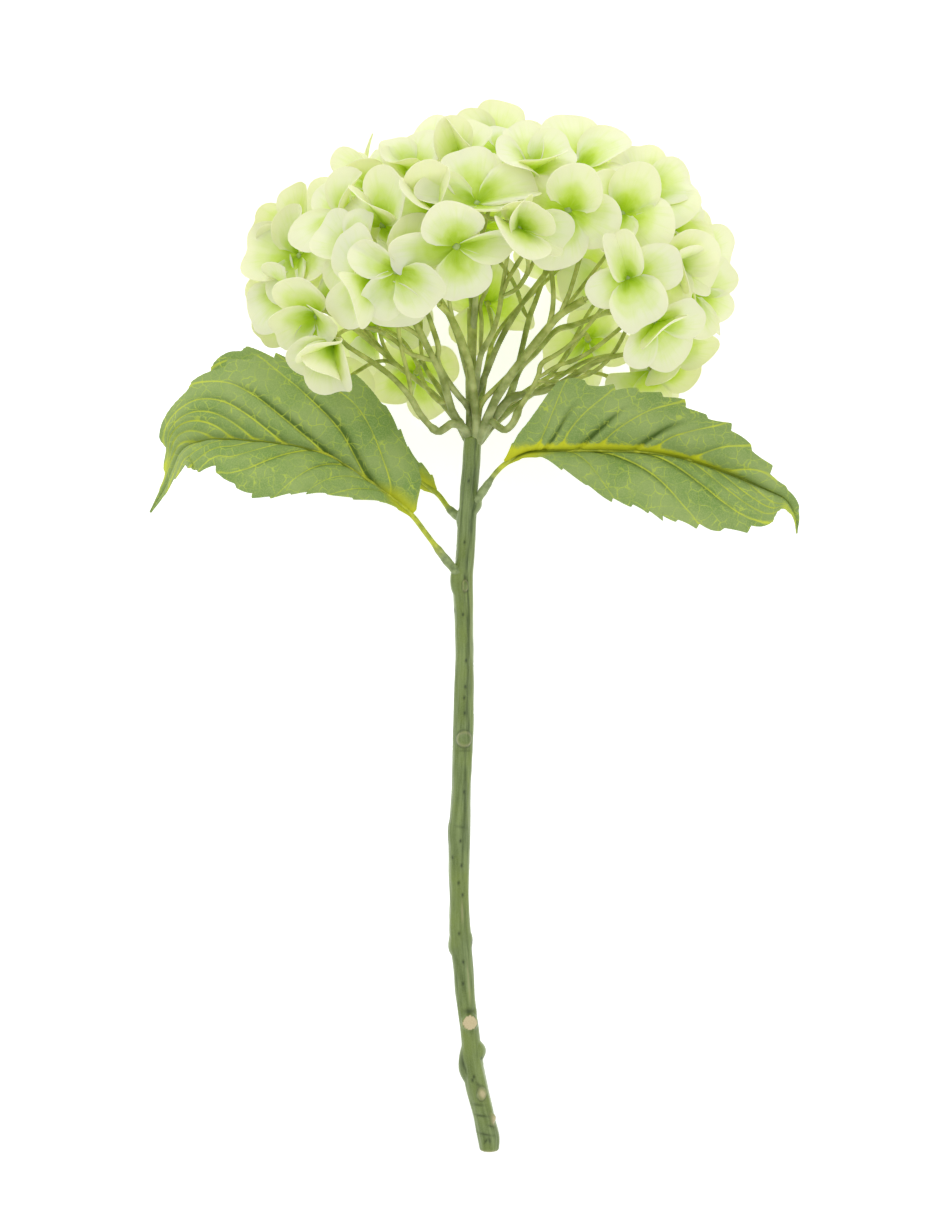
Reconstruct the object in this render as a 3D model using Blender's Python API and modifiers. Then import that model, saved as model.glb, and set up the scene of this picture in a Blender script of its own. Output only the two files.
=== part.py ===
"""Cut hydrangea: a mophead bloom on a long woody cane with three leaves, laid down on a table.

The stem is described in its own frame, in millimetres: across (to the right), along (from the
cut end towards the bloom) and up (towards someone who looks down on it). lay() tips that frame
by the angle at which the stem lies, from its cut end up to the wide bloom, and gives metres.
"""
import math
import random

import bmesh
import bpy
from mathutils import Matrix, Vector

MM = 0.001

# How it lies: the cut end and the back of the bloom rest on the table.
LIE_ANGLE = math.radians(13.4)
CUT_END = Vector((-1.95, -237.46, 3.5))  # where the middle of the cut end is on the table, mm

GAP = 0.3  # between neighbouring pieces

# Cane: across, along, diameter.
CANE_ROUTE = [
    (8.8, 0.0, 8.4), (8.4, 7.0, 10.0), (6.2, 17.0, 9.6), (3.4, 29.0, 10.0), (1.4, 40.0, 9.4),
    (0.3, 52.0, 8.8), (-1.8, 68.0, 8.6), (-3.2, 85.0, 9.0), (-4.6, 100.0, 9.8), (-4.9, 117.0, 9.2),
    (-4.8, 145.0, 9.6), (-3.8, 167.0, 8.6), (-3.2, 189.0, 9.0), (-2.8, 210.0, 8.6),
    (-2.6, 228.0, 8.0), (-2.8, 245.0, 8.2), (-3.2, 262.0, 8.8), (-2.3, 272.0, 8.2),
    (-1.6, 284.0, 8.2), (-0.8, 300.0, 8.2), (0.4, 314.0, 8.0), (0.8, 325.0, 7.4),
]
# Swellings where side shoots and leaves grew: across, along, up, radius across, along.
CANE_KNOBS = [
    (-5.6, 262.0, 0.8, 3.4, 6.5), (2.6, 297.0, 1.0, 2.9, 4.5), (-3.6, 290.0, -1.2, 2.8, 4.5),
    (-3.2, 188.6, 3.0, 2.6, 3.2), (-7.6, 146.0, 0.6, 2.4, 5.5), (-0.8, 97.0, 0.8, 1.8, 3.6),
    (-8.2, 94.5, 0.4, 1.8, 4.2), (-2.6, 40.5, 0.4, 2.4, 7.5), (5.2, 46.5, 0.8, 2.2, 4.0),
    (4.6, 27.5, 3.2, 2.2, 2.6), (9.6, 16.0, 3.0, 2.0, 2.2),
]
# The stub of a cut twig on the upper side: across, along, radius, height over the cane's middle.
TWIG_STUB = (-0.3, 60.0, 2.9, 5.4)

# Bloom: an egg on which the florets' middles lie.
BLOOM_MIDDLE = Vector((10.0, 388.0, -6.0))
BLOOM_RADII = Vector((92.0, 71.0, 86.0))
BLOOM_LEAN = 0.14  # how the egg's top leans to the right, across for each along
HUB = Vector((3.0, 346.0, 0.0))  # the rays spread from about here
FLORET_RADIUS = 28.5  # a little more than the petals reach, so that neighbours grow together
BLADE = 0.8  # thickness of petals and leaves

# Florets placed one by one: across, along, side of the bloom (1 upper, -1 lower), how much they
# face across and along, spin, cup, size.
PLACED_FLORETS = [
    (-6.0, 406.0, 1, 0.02, -0.15, 98, 20, 0.98), (-28.0, 399.0, 1, -0.25, -0.3, 21, 24, 0.98),
    (-42.0, 392.0, 1, -0.3, -0.5, 43, 30, 0.98), (-50.0, 406.0, 1, -0.5, 0.3, 57, 36, 0.98),
    (-38.0, 417.0, 1, -0.4, 0.5, 37, 42, 1.0), (-54.0, 422.0, 1, -0.55, 0.5, 30, 38, 0.98),
    (-78.0, 411.0, 1, -0.5, 0.0, -10, 28, 1.02), (-68.0, 379.0, 1, -0.4, -0.45, 16, 30, 0.98),
    (-82.0, 396.0, 1, -0.65, -0.2, 46, 24, 0.95), (-60.0, 367.0, 1, -0.2, -0.7, 34, 26, 0.92),
    (-43.0, 438.0, 1, -0.45, 0.62, 40, 30, 0.98), (-25.0, 441.0, 1, -0.3, 0.68, 46, 32, 1.0),
    (-5.0, 444.0, 1, -0.1, 0.68, 42, 32, 1.02), (3.0, 424.0, 1, 0.05, 0.82, 17, 14, 1.0),
    (-17.0, 422.0, 1, -0.25, 0.62, 47, 40, 0.98), (11.0, 459.0, 1, 0.1, 0.6, -4, 38, 1.0),
    (26.0, 441.0, 1, 0.25, 0.58, 31, 34, 1.0), (19.0, 412.0, 1, 0.25, 0.1, 70, 28, 0.92),
    (43.0, 423.0, 1, -0.05, -0.25, 71, 26, 1.0), (49.0, 445.0, 1, 0.1, 0.72, 32, 34, 0.98),
    (69.0, 394.0, 1, 0.08, -0.2, 112, 34, 1.0), (67.0, 423.0, 1, 0.05, 0.12, 61, 32, 0.95),
    (79.0, 434.0, 1, 0.3, 0.48, 20, 30, 1.0), (89.0, 421.0, 1, 0.45, 0.25, 46, 36, 0.98),
    (88.0, 402.0, 1, 0.4, -0.05, 63, 28, 0.98), (102.0, 410.0, 1, 0.72, 0.1, 20, 28, 0.98),
    (100.0, 392.0, 1, 0.7, -0.25, 46, 28, 0.95), (82.0, 376.0, 1, 0.3, -0.6, 23, 24, 0.98),
    (93.0, 372.0, -1, 0.55, -0.6, 26, 22, 0.98), (85.0, 361.0, -1, 0.3, -0.65, 14, 26, 0.95),
    (57.0, 379.0, -1, 0.1, -0.45, 8, 28, 0.98), (-26.0, 363.0, -1, -0.15, -0.3, 60, 18, 0.98),
    (-79.0, 422.0, -1, -0.8, 0.35, 30, 26, 0.9), (-81.0, 387.0, -1, -0.75, -0.3, 38, 26, 0.9),
]
# The rest go one by one to the spot of a fine spiral over the egg that has the most room.
SPIRAL_SPOTS = 500
GOLDEN_ANGLE = math.radians(137.508)
LEAST_ROOM = 26.0  # between two florets' middles
RIM_BACK = 342.0  # along, where the bloom's rim lies at the back of the egg
RIM_RISE = 0.27  # how the rim rises towards the upper side, where the rays show
# The rim is open behind the rays: the opening's middle and half width across, and its rise.
OPEN_MIDDLE = 16.0
OPEN_WIDTH = 30.0
OPEN_RISE = 52.0
OVER_LEAF = -70.0  # further left than this the rim rises over the left leaf
LEAF_RISE = 12.0
FLORET_SEED = 32

# Rays of the bloom: base and tip radius, then across, along, up of each point.
RAYS = [
    (3.3, 2.2, [(0.9, 325.6, 0.0), (1.6, 340.0, 0.0), (2.4, 358.0, 0.0), (2.6, 384.0, 0.0)]),
    (1.9, 1.2, [(1.0, 331.0, 1.0), (-13.7, 329.8, 8.0), (-25.0, 344.0, 16.0), (-36.0, 361.0, 26.0)]),
    (2.0, 1.2, [(1.0, 328.0, 2.0), (-11.0, 346.0, 14.0), (-16.5, 366.0, 26.0), (-22.0, 380.0, 36.0)]),
    (1.9, 1.2, [(1.0, 333.0, -1.0), (-12.0, 352.0, 3.0), (-20.0, 374.0, 6.0)]),
    (2.6, 1.5, [(1.8, 328.0, 3.0), (0.0, 356.0, 13.0), (-7.0, 381.0, 30.0)]),
    (1.8, 1.2, [(2.5, 346.0, 2.0), (10.0, 374.0, 14.0), (13.5, 390.0, 28.0)]),
    (2.5, 1.5, [(2.0, 330.0, 3.0), (27.0, 360.0, 15.0), (47.0, 379.0, 28.0)]),
    (2.0, 1.3, [(2.0, 329.0, -2.0), (23.0, 351.0, -10.0), (40.0, 369.0, -24.0)]),
    (2.1, 1.3, [(2.0, 332.0, 0.0), (20.0, 345.0, 2.0), (41.0, 351.0, 6.0), (62.0, 363.0, 16.0)]),
    (1.8, 1.2, [(2.0, 331.0, 2.0), (16.0, 329.5, 7.0), (24.0, 338.0, 8.0), (36.0, 357.0, 10.0)]),
    (1.9, 1.2, [(1.0, 329.0, -2.0), (-12.0, 345.0, -16.0), (-22.0, 360.0, -36.0)]),
    (1.9, 1.2, [(1.5, 332.0, -2.0), (6.0, 352.0, -20.0), (10.0, 372.0, -42.0)]),
    (1.9, 1.2, [(1.5, 330.0, -2.0), (22.0, 342.0, -18.0), (40.0, 354.0, -38.0)]),
    (1.9, 1.2, [(0.8, 330.0, -1.0), (-20.0, 338.0, -8.0), (-40.0, 356.0, -14.0)]),
    (1.9, 1.2, [(1.6, 329.0, -1.0), (28.0, 338.0, -10.0), (54.0, 354.0, -18.0)]),
    (1.9, 1.2, [(2.4, 352.0, 0.0), (-10.0, 385.0, -8.0), (-24.0, 410.0, -14.0)]),
    (1.9, 1.2, [(2.4, 350.0, 0.0), (20.0, 385.0, -8.0), (40.0, 412.0, -10.0)]),
    (1.9, 1.2, [(2.4, 354.0, 0.0), (4.0, 388.0, 14.0), (5.0, 410.0, 26.0)]),
]
PEDICEL_RADIUS = 0.85
SOCKET_RADIUS = 1.35  # the green cup under each floret
SOCKET_LENGTH = 4.0

# Leaves: midrib points (across, along, up), then for the upper and the lower half its width, its
# lean from the stem's plane in degrees, where along it is widest and how fast it tapers from there,
# then the petiole's points.
LEAVES = {
    "leaf_left": {
        "midrib": [(-29.5, 292.5, 12.0), (-46.0, 303.5, 14.0), (-69.0, 317.0, 16.0),
                   (-94.0, 324.5, 17.0), (-113.0, 326.0, 15.0), (-130.0, 317.0, 12.0),
                   (-146.0, 291.0, 8.0)],
        "widths": (38.0, 33.0), "leans": (-12.0, 48.0), "bellies": (0.50, 0.42), "tapers": (1.7, 1.4),
        "petiole": [(-4.6, 264.0, 1.2), (-12.0, 273.0, 5.0), (-21.0, 283.0, 9.0), (-29.5, 292.5, 12.0)],
    },
    "leaf_right": {
        "midrib": [(19.6, 318.0, 9.0), (31.0, 320.5, 11.0), (51.0, 321.5, 13.0), (76.0, 321.5, 15.0),
                   (100.0, 318.0, 16.0), (122.0, 310.0, 15.0), (139.0, 302.5, 12.0),
                   (150.0, 283.0, 6.0)],
        "widths": (29.5, 36.0), "leans": (24.0, 24.0), "bellies": (0.34, 0.58), "tapers": (1.9, 1.1),
        "petiole": [(2.2, 297.0, 1.4), (8.0, 305.0, 4.0), (12.6, 312.0, 6.5), (19.6, 318.0, 9.0)],
    },
    "leaf_back": {
        "midrib": [(-16.0, 302.5, -10.0), (-30.0, 312.0, -15.0), (-55.0, 327.0, -22.0),
                   (-82.0, 340.0, -28.0), (-106.0, 346.0, -31.0), (-127.0, 334.0, -32.0)],
        "widths": (24.0, 30.0), "leans": (-8.0, -30.0), "bellies": (0.56, 0.46), "tapers": (1.3, 1.3),
        "petiole": [(-2.6, 288.5, -1.2), (-9.5, 294.5, -5.0), (-16.0, 302.5, -10.0)],
    },
}
TEETH = 11  # along each edge of a leaf
TOOTH_DEPTH = 1.7
PETIOLE_RADII = (2.2, 1.0)  # at the cane and under the blade's far end


def lay(across, along, up):
    """A point of the stem's own frame, in mm, as a point of the lying stem, in metres."""
    x = CUT_END.x + across
    y = CUT_END.y + along * math.cos(LIE_ANGLE) - up * math.sin(LIE_ANGLE)
    z = CUT_END.z + along * math.sin(LIE_ANGLE) + up * math.cos(LIE_ANGLE)
    return Vector((x, y, z)) * MM


def lay_point(point):
    """lay() for a point given as one tuple or vector."""
    return lay(*point)


def start_collection(name):
    collection = bpy.data.collections.new(name)
    bpy.context.scene.collection.children.link(collection)
    return collection


def make_material(name, color, roughness):
    material = bpy.data.materials.new(name)
    material.use_nodes = True
    shader = material.node_tree.nodes["Principled BSDF"]
    shader.inputs["Base Color"].default_value = (*color, 1)
    shader.inputs["Roughness"].default_value = roughness
    shader.inputs["Metallic"].default_value = 0
    return material


def add_object(name, mesh, collection):
    thing = bpy.data.objects.new(name, mesh)
    collection.objects.link(thing)
    return thing


def bmesh_object(name, bm, collection):
    mesh = bpy.data.meshes.new(name)
    bm.to_mesh(mesh)
    bm.free()
    return add_object(name, mesh, collection)


def baked(thing, name, collection):
    """The object as its modifiers or bevel leave it, as a plain mesh object of its own."""
    bpy.context.view_layer.update()
    seen = thing.evaluated_get(bpy.context.evaluated_depsgraph_get())
    mesh = bpy.data.meshes.new_from_object(seen)
    bm = bmesh.new()
    bm.from_mesh(mesh)
    bmesh.ops.remove_doubles(bm, verts=bm.verts, dist=1e-6)
    bm.to_mesh(mesh)
    bm.free()
    solid = add_object(name, mesh, collection)
    solid.matrix_world = thing.matrix_world
    bpy.data.objects.remove(thing)
    return solid


def smooth_route(points, step):
    """Points about step apart on a smooth curve through the given ones (Catmull-Rom).

    A point is a tuple of any length: place first, then whatever follows it, such as a diameter.
    """
    ends = [tuple(2 * a - b for a, b in zip(points[0], points[1]))]
    ends += points
    ends.append(tuple(2 * a - b for a, b in zip(points[-1], points[-2])))
    route = []
    for i in range(1, len(ends) - 2):
        before, here, there, after = ends[i - 1:i + 3]
        pieces = max(1, round(math.dist(here[:3], there[:3]) / step))
        for k in range(pieces):
            t = k / pieces
            route.append(tuple(
                0.5 * (2 * b + (c - a) * t + (2 * a - 5 * b + 4 * c - d) * t ** 2
                       + (3 * b - a - 3 * c + d) * t ** 3)
                for a, b, c, d in zip(before, here, there, after)))
    route.append(tuple(points[-1]))
    return route


def make_tube(name, places, radii, sides_step, collection):
    """A tube with filled ends through the places (metres), each with its radius (metres)."""
    curve = bpy.data.curves.new(name, "CURVE")
    curve.dimensions = "3D"
    curve.bevel_depth = 1.0
    curve.bevel_resolution = sides_step
    curve.use_fill_caps = True
    spline = curve.splines.new("POLY")
    spline.points.add(len(places) - 1)
    for point, place, radius in zip(spline.points, places, radii):
        point.co = (*place, 1)
        point.radius = radius
    thing = add_object(name + "_route", curve, collection)
    return baked(thing, name, collection)


def boolean(target, operation, others, solver="EXACT"):
    """Apply one Boolean with a whole collection, then remove that collection's objects."""
    modifier = target.modifiers.new(operation.title(), "BOOLEAN")
    modifier.operation = operation
    modifier.operand_type = "COLLECTION"
    modifier.collection = others
    modifier.solver = solver
    bpy.context.view_layer.update()
    seen = target.evaluated_get(bpy.context.evaluated_depsgraph_get())
    mesh = bpy.data.meshes.new_from_object(seen)
    target.modifiers.clear()
    target.data = mesh
    for thing in list(others.objects):
        bpy.data.objects.remove(thing)
    bpy.data.collections.remove(others)
    return target


def keep_largest_body(thing):
    """Drop the small scraps that a cut may leave loose."""
    bm = bmesh.new()
    bm.from_mesh(thing.data)
    loose = set(bm.verts)
    bodies = []
    while loose:
        body = [loose.pop()]
        for vert in body:
            for edge in vert.link_edges:
                other = edge.other_vert(vert)
                if other in loose:
                    loose.discard(other)
                    body.append(other)
        bodies.append(body)
    bodies.sort(key=len)
    for body in bodies[:-1]:
        bmesh.ops.delete(bm, geom=body, context="VERTS")
    bm.to_mesh(thing.data)
    bm.free()


def finish(thing, material, collection, smooth_angle=math.radians(40)):
    """Put a piece in the flower's collection with its material and smooth shading."""
    for held_in in list(thing.users_collection):
        held_in.objects.unlink(thing)
    collection.objects.link(thing)
    thing.data.materials.clear()
    thing.data.materials.append(material)
    thing.data.shade_smooth()
    thing.data.set_sharp_from_angle(angle=smooth_angle)
    return thing


# --- Cane ---------------------------------------------------------------------------------------

def cane_pieces(clearance, collection, label):
    """The cane's tube and its knobs, each grown by the clearance (mm)."""
    route = smooth_route([(across, along, 0.0, width) for across, along, width in CANE_ROUTE], 14.0)
    places = [lay(*point[:3]) for point in route]
    radii = [(point[3] / 2 + clearance) * MM for point in route]
    tube = make_tube(label, places, radii, 2, collection)
    for number, (across, along, up, wide, long) in enumerate(CANE_KNOBS):
        bm = bmesh.new()
        size = Matrix.Diagonal((wide + clearance, long + clearance, wide + clearance, 1))
        bmesh.ops.create_uvsphere(bm, u_segments=6, v_segments=5, radius=MM, matrix=size)
        knob = bmesh_object(f"{label}_knob_{number}", bm, collection)
        knob.matrix_world = Matrix.Translation(lay(across, along, up)) @ Matrix.Rotation(LIE_ANGLE, 4, "X")
    return tube


def build_cane(collection):
    """The woody cane with its swellings and the stub of a cut twig, worn flat where it lies."""
    knobs = start_collection("cane_knobs")
    cane = cane_pieces(0.0, knobs, "cane")
    knobs.objects.unlink(cane)
    collection.objects.link(cane)
    across, along, radius, height = TWIG_STUB
    bm = bmesh.new()
    bmesh.ops.create_cone(bm, segments=10, cap_ends=True, radius1=radius * 1.25 * MM,
                          radius2=radius * MM, depth=height * MM)
    stub = bmesh_object("cane_stub", bm, knobs)
    stub.matrix_world = Matrix.Translation(lay(across, along, height / 2)) @ Matrix.Rotation(
        LIE_ANGLE, 4, "X")
    boolean(cane, "UNION", knobs)
    boolean(cane, "DIFFERENCE", table_slab())
    return cane


def table_slab():
    """A block under the table's surface, to wear flat what would sink into it."""
    slab = start_collection("table_slab")
    bm = bmesh.new()
    bmesh.ops.create_cube(bm, size=1.0, matrix=Matrix.Translation((0, 0, -0.5)))
    bmesh_object("slab", bm, slab)
    return slab


# --- Florets ------------------------------------------------------------------------------------

def on_egg(across, along, side):
    """The point of the bloom's egg over (1) or under (-1) a place in the stem's plane."""
    above = along - BLOOM_MIDDLE.y
    flat_x = (across - BLOOM_MIDDLE.x - BLOOM_LEAN * above) / BLOOM_RADII.x
    flat_y = above / BLOOM_RADII.y
    height = side * math.sqrt(max(0.0, 1 - flat_x ** 2 - flat_y ** 2))
    return Vector((across, along, BLOOM_MIDDLE.z + BLOOM_RADII.z * height))


def facing(middle):
    """Where a floret faces: off the egg, a little away from the hub and, off the table, upwards."""
    off = middle - BLOOM_MIDDLE
    straight = Vector([a / r ** 2 for a, r in zip(off, BLOOM_RADII)]).normalized()
    lift = 0.3 * min(1.0, max(0.0, (middle.z + 60.0) / 60.0))
    away = (middle - HUB).normalized()
    return (straight * 0.72 + away * 0.28 + Vector((0, 0, lift))).normalized()


def rim_height(across, up):
    """How far along the stem the bloom's rim lies at a place across and a height over the stem."""
    opening = OPEN_RISE * math.exp(-((across - OPEN_MIDDLE) / OPEN_WIDTH) ** 2)
    over_leaf = LEAF_RISE if across < OVER_LEAF else 0.0
    return RIM_BACK + RIM_RISE * (up - (BLOOM_MIDDLE.z - BLOOM_RADII.z)) + opening + over_leaf


def spiral_spots():
    """Even spots on the egg, down to the bloom's rim."""
    spots = []
    for step in range(SPIRAL_SPOTS):
        height = 1 - 2 * (step + 0.5) / SPIRAL_SPOTS
        spread = math.sqrt(1 - height ** 2)
        angle = step * GOLDEN_ANGLE
        unit = Vector((spread * math.sin(angle), height, spread * math.cos(angle)))
        spot = BLOOM_MIDDLE + unit * BLOOM_RADII
        spot.x += BLOOM_LEAN * (spot.y - BLOOM_MIDDLE.y)
        if spot.y > rim_height(spot.x, spot.z):
            spots.append(spot)
    return spots


def place_florets():
    """Every floret as (middle, facing, spin, cup, size): first the placed ones, then the rest."""
    florets = []
    for across, along, side, face_across, face_along, spin, cup, size in PLACED_FLORETS:
        middle = on_egg(across, along, side)
        straight = math.sqrt(1 - face_across ** 2 - face_along ** 2)
        face = Vector((face_across, face_along, side * straight))
        florets.append((middle, face, math.radians(spin), math.radians(cup), size))
    dice = random.Random(FLORET_SEED)
    spots = spiral_spots()
    rooms = [min((spot - floret[0]).length for floret in florets) for spot in spots]
    while max(rooms) > LEAST_ROOM:
        middle = spots[rooms.index(max(rooms))]
        spin = dice.uniform(0, math.pi / 2)
        cup = math.radians(dice.uniform(20, 34))
        size = dice.uniform(0.98, 1.06)
        florets.append((middle, facing(middle), spin, cup, size))
        rooms = [min(room, (spot - middle).length) for room, spot in zip(rooms, spots)]
    return florets


def floret_frame(middle, normal, spin):
    """Axes of a floret, in the stem's frame: two in its plane and the one it faces along."""
    side = Vector((1, 0, 0)) if abs(normal.x) < 0.9 else Vector((0, 1, 0))
    right = (side - normal * side.dot(normal)).normalized()
    top = normal.cross(right)
    first = right * math.cos(spin) + top * math.sin(spin)
    return first, normal.cross(first)


def petal_reach(angle, radius):
    """A floret's outline: four broad round petals with narrow notches between them."""
    lobe = abs(math.cos(2 * angle))
    return radius * (0.68 + 0.32 * lobe ** 0.45)


def bend(distance, start, turn):
    """Where a strip that rises at an angle and turns evenly ends up: (outwards, upwards)."""
    if abs(turn) < 1e-6:
        return distance * math.cos(start), distance * math.sin(start)
    end = start + turn
    span = distance / turn
    return span * (math.sin(end) - math.sin(start)), span * (math.cos(start) - math.cos(end))


def petal_disc():
    """A flat disc of two rings, four points in the inner one and sixteen on the rim."""
    bm = bmesh.new()
    bmesh.ops.create_circle(bm, segments=4, radius=0.5, cap_ends=True, cap_tris=True)
    inner_rim = [edge for edge in bm.edges if edge.is_boundary]
    grown = bmesh.ops.extrude_edge_only(bm, edges=inner_rim)["geom"]
    for vert in grown:
        if isinstance(vert, bmesh.types.BMVert):
            vert.co *= 2.0
    outer_rim = [edge for edge in bm.edges if edge.is_boundary]
    bmesh.ops.subdivide_edges(bm, edges=outer_rim, cuts=3)
    bmesh.ops.triangulate(bm, faces=bm.faces)
    bmesh.ops.recalc_face_normals(bm, faces=bm.faces)
    return bm


def floret_sheet(floret, number, collection):
    """One floret as a thin closed blade: a disc with four lobes, bent up like a shallow cup."""
    middle, normal, spin, cup, size = floret
    first, second = floret_frame(middle, normal, spin)
    bm = petal_disc()
    for vert in bm.verts:
        away = vert.co.length
        share = 0.0 if away < 0.1 else 0.55 if away < 0.6 else 1.0
        angle = math.atan2(vert.co.y, vert.co.x)
        lobed = petal_reach(angle, FLORET_RADIUS * size)
        reach = share * (lobed if share == 1.0 else FLORET_RADIUS * size)
        rise = cup + math.radians(6) * math.cos(2 * angle)
        outward, upward = bend(reach, rise, -0.9 * rise * share)
        flat = first * math.cos(angle) + second * math.sin(angle)
        vert.co = lay_point(middle + flat * outward + normal * upward)
    sheet = bmesh_object(f"floret_{number}_sheet", bm, collection)
    solidify = sheet.modifiers.new("Thickness", "SOLIDIFY")
    solidify.thickness = BLADE * MM
    solidify.offset = 0.0
    blade = baked(sheet, f"floret_{number}", collection)
    press_on_table(blade)
    return blade


def press_on_table(blade):
    """Petals that reach the table lie flat on it, at their full thickness."""
    vertices = blade.data.vertices
    half = len(vertices) // 2
    for one, other in zip(vertices[:half], vertices[half:]):
        low, high = sorted((one, other), key=lambda vertex: vertex.co.z)
        if low.co.z < 0:
            low.co.z = 0.0
            high.co.z = max(high.co.z, BLADE * MM)


def build_florets(florets, collection):
    """All florets fused into one body where their petals cross, cut clear of the pedicels."""
    others = start_collection("other_florets")
    blades = [floret_sheet(floret, number, others) for number, floret in enumerate(florets)]
    head = blades[0]
    others.objects.unlink(head)
    collection.objects.link(head)
    head.name = "florets"
    boolean(head, "UNION", others, "MANIFOLD")
    clear = start_collection("ray_clearance")
    branch_tubes(florets, GAP, clear, "clearance")
    boolean(head, "DIFFERENCE", clear, "MANIFOLD")
    keep_largest_body(head)
    return head


# --- Rays and pedicels --------------------------------------------------------------------------

def socket_top(floret):
    """The end of a floret's socket, a gap under the petals' underside."""
    middle, normal = floret[:2]
    return middle - normal * (BLADE / 2 + GAP)


def pedicel_route(floret, fork, direction):
    """From the fork along the ray's own direction, then round into the floret's back."""
    end = socket_top(floret)
    normal = floret[1]
    reach = (end - fork).length
    lead = fork + direction * reach * 0.35
    arrive = end - normal * reach * 0.35
    route = []
    for t in (0.0, 0.5):
        s = 1 - t
        route.append(fork * s ** 3 + lead * 3 * s * s * t + arrive * 3 * s * t * t + end * t ** 3)
    route += [end - normal * SOCKET_LENGTH, end]
    return route


def branch_tubes(florets, clearance, collection, label):
    """Every ray and pedicel as its own tube, each grown by the clearance (mm)."""
    forks = []
    for number, (base, tip, points) in enumerate(RAYS):
        places = [Vector(place) for place in smooth_route(points, 16.0)]
        end, before = places[-1], places[-2]
        ahead = (end - before).normalized()
        places[-1] = end + ahead * clearance
        last = len(places) - 1
        radii = [base + (tip - base) * i / last + clearance for i in range(last + 1)]
        sides_step = 1 if base > 2.2 else 0
        make_tube(f"{label}_ray_{number}", [lay_point(p) for p in places], [r * MM for r in radii],
                  sides_step, collection)
        forks.append((end, ahead))
    for number, floret in enumerate(florets):
        middle = floret[0]
        fork, direction = min(forks, key=lambda f: (middle - f[0]).length * (
            1.5 - (middle - f[0]).normalized().dot(f[1])))
        route = pedicel_route(floret, fork - direction * 1.0, direction)
        route[-1] = route[-1] + floret[1] * clearance / 2
        radii = [PEDICEL_RADIUS] * 3 + [SOCKET_RADIUS]
        make_tube(f"{label}_pedicel_{number}", [lay_point(p) for p in route],
                  [(r + clearance) * MM for r in radii], 0, collection)


def build_branches(florets, collection):
    """The main axis, its rays and a pedicel for each floret, grown together as one body."""
    tubes = start_collection("branch_tubes")
    branch_tubes(florets, 0.0, tubes, "branch")
    branches = tubes.objects["branch_ray_0"]
    tubes.objects.unlink(branches)
    collection.objects.link(branches)
    branches.name = "flower_branches"
    boolean(branches, "UNION", tubes, "MANIFOLD")
    keep_largest_body(branches)
    return branches


# --- Leaves -------------------------------------------------------------------------------------

def leaf_width(share, belly, taper):
    """Half-width of a blade along its midrib, from 0 at the base to 1 at the widest and 0 at the tip."""
    if share < belly:
        return math.sin(math.pi / 2 * share / belly) ** 0.95
    rest = (1 - share) / (1 - belly)
    return math.sin(math.pi / 2 * rest) ** taper


def leaf_rows(midrib, rows):
    """Even places along the midrib, each with the direction in which the midrib runs there."""
    fine = [Vector(p) for p in smooth_route(midrib, 1.0)]
    lengths = [0.0]
    for a, b in zip(fine, fine[1:]):
        lengths.append(lengths[-1] + (b - a).length)
    places = []
    for row in range(rows):
        target = lengths[-1] * row / (rows - 1)
        i = max(k for k in range(len(fine) - 1) if lengths[k] <= target + 1e-9)
        t = (target - lengths[i]) / (lengths[i + 1] - lengths[i])
        ahead = fine[min(i + 2, len(fine) - 1)] - fine[max(i - 2, 0)]
        places.append((fine[i].lerp(fine[i + 1], t), ahead.normalized()))
    return places


def leaf_blade(name, leaf, collection):
    """A toothed blade folded along its midrib, its halves arched and gently waved."""
    rows = 2 * TEETH + 1
    columns = 4
    places = leaf_rows(leaf["midrib"], rows)
    bm = bmesh.new()
    bmesh.ops.create_grid(bm, x_segments=rows - 1, y_segments=columns, size=1.0)
    bmesh.ops.triangulate(bm, faces=bm.faces)
    for vert in bm.verts:
        row = round((vert.co.x + 1) / 2 * (rows - 1))
        across = vert.co.y  # -1 at the lower edge, +1 at the upper one
        share = row / (rows - 1)
        place, ahead = places[row]
        upper = across > 0
        half_index = 0 if upper else 1
        lean = math.radians(leaf["leans"][half_index])
        side = Vector((0, math.cos(lean) * (1 if upper else -1), math.sin(lean)))
        side = (side - ahead * side.dot(ahead)).normalized()
        face = Vector((0, 0, 1))
        face = (face - ahead * face.dot(ahead)).normalized()
        face = (face - side * face.dot(side)).normalized()
        width = leaf_width(share, leaf["bellies"][half_index], leaf["tapers"][half_index])
        half = max(leaf["widths"][half_index] * width, 0.9)
        out = abs(across)
        arch = 0.12 * half * math.sin(math.pi * out)
        wave = 0.05 * half * out ** 2 * math.sin(7.0 * share * math.pi + (0.8 if upper else 0.0))
        tooth = 0.0
        if out > 0.99 and row % 2 == 1 and row < rows - 2:
            tooth = TOOTH_DEPTH
        vert.co = lay_point(place + side * (half * out + tooth) + face * (arch + wave)
                            + ahead * tooth * 0.8)
    sheet = bmesh_object(name + "_sheet", bm, collection)
    solidify = sheet.modifiers.new("Thickness", "SOLIDIFY")
    solidify.thickness = BLADE * MM
    solidify.offset = 0.0
    return baked(sheet, name, collection)


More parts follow.
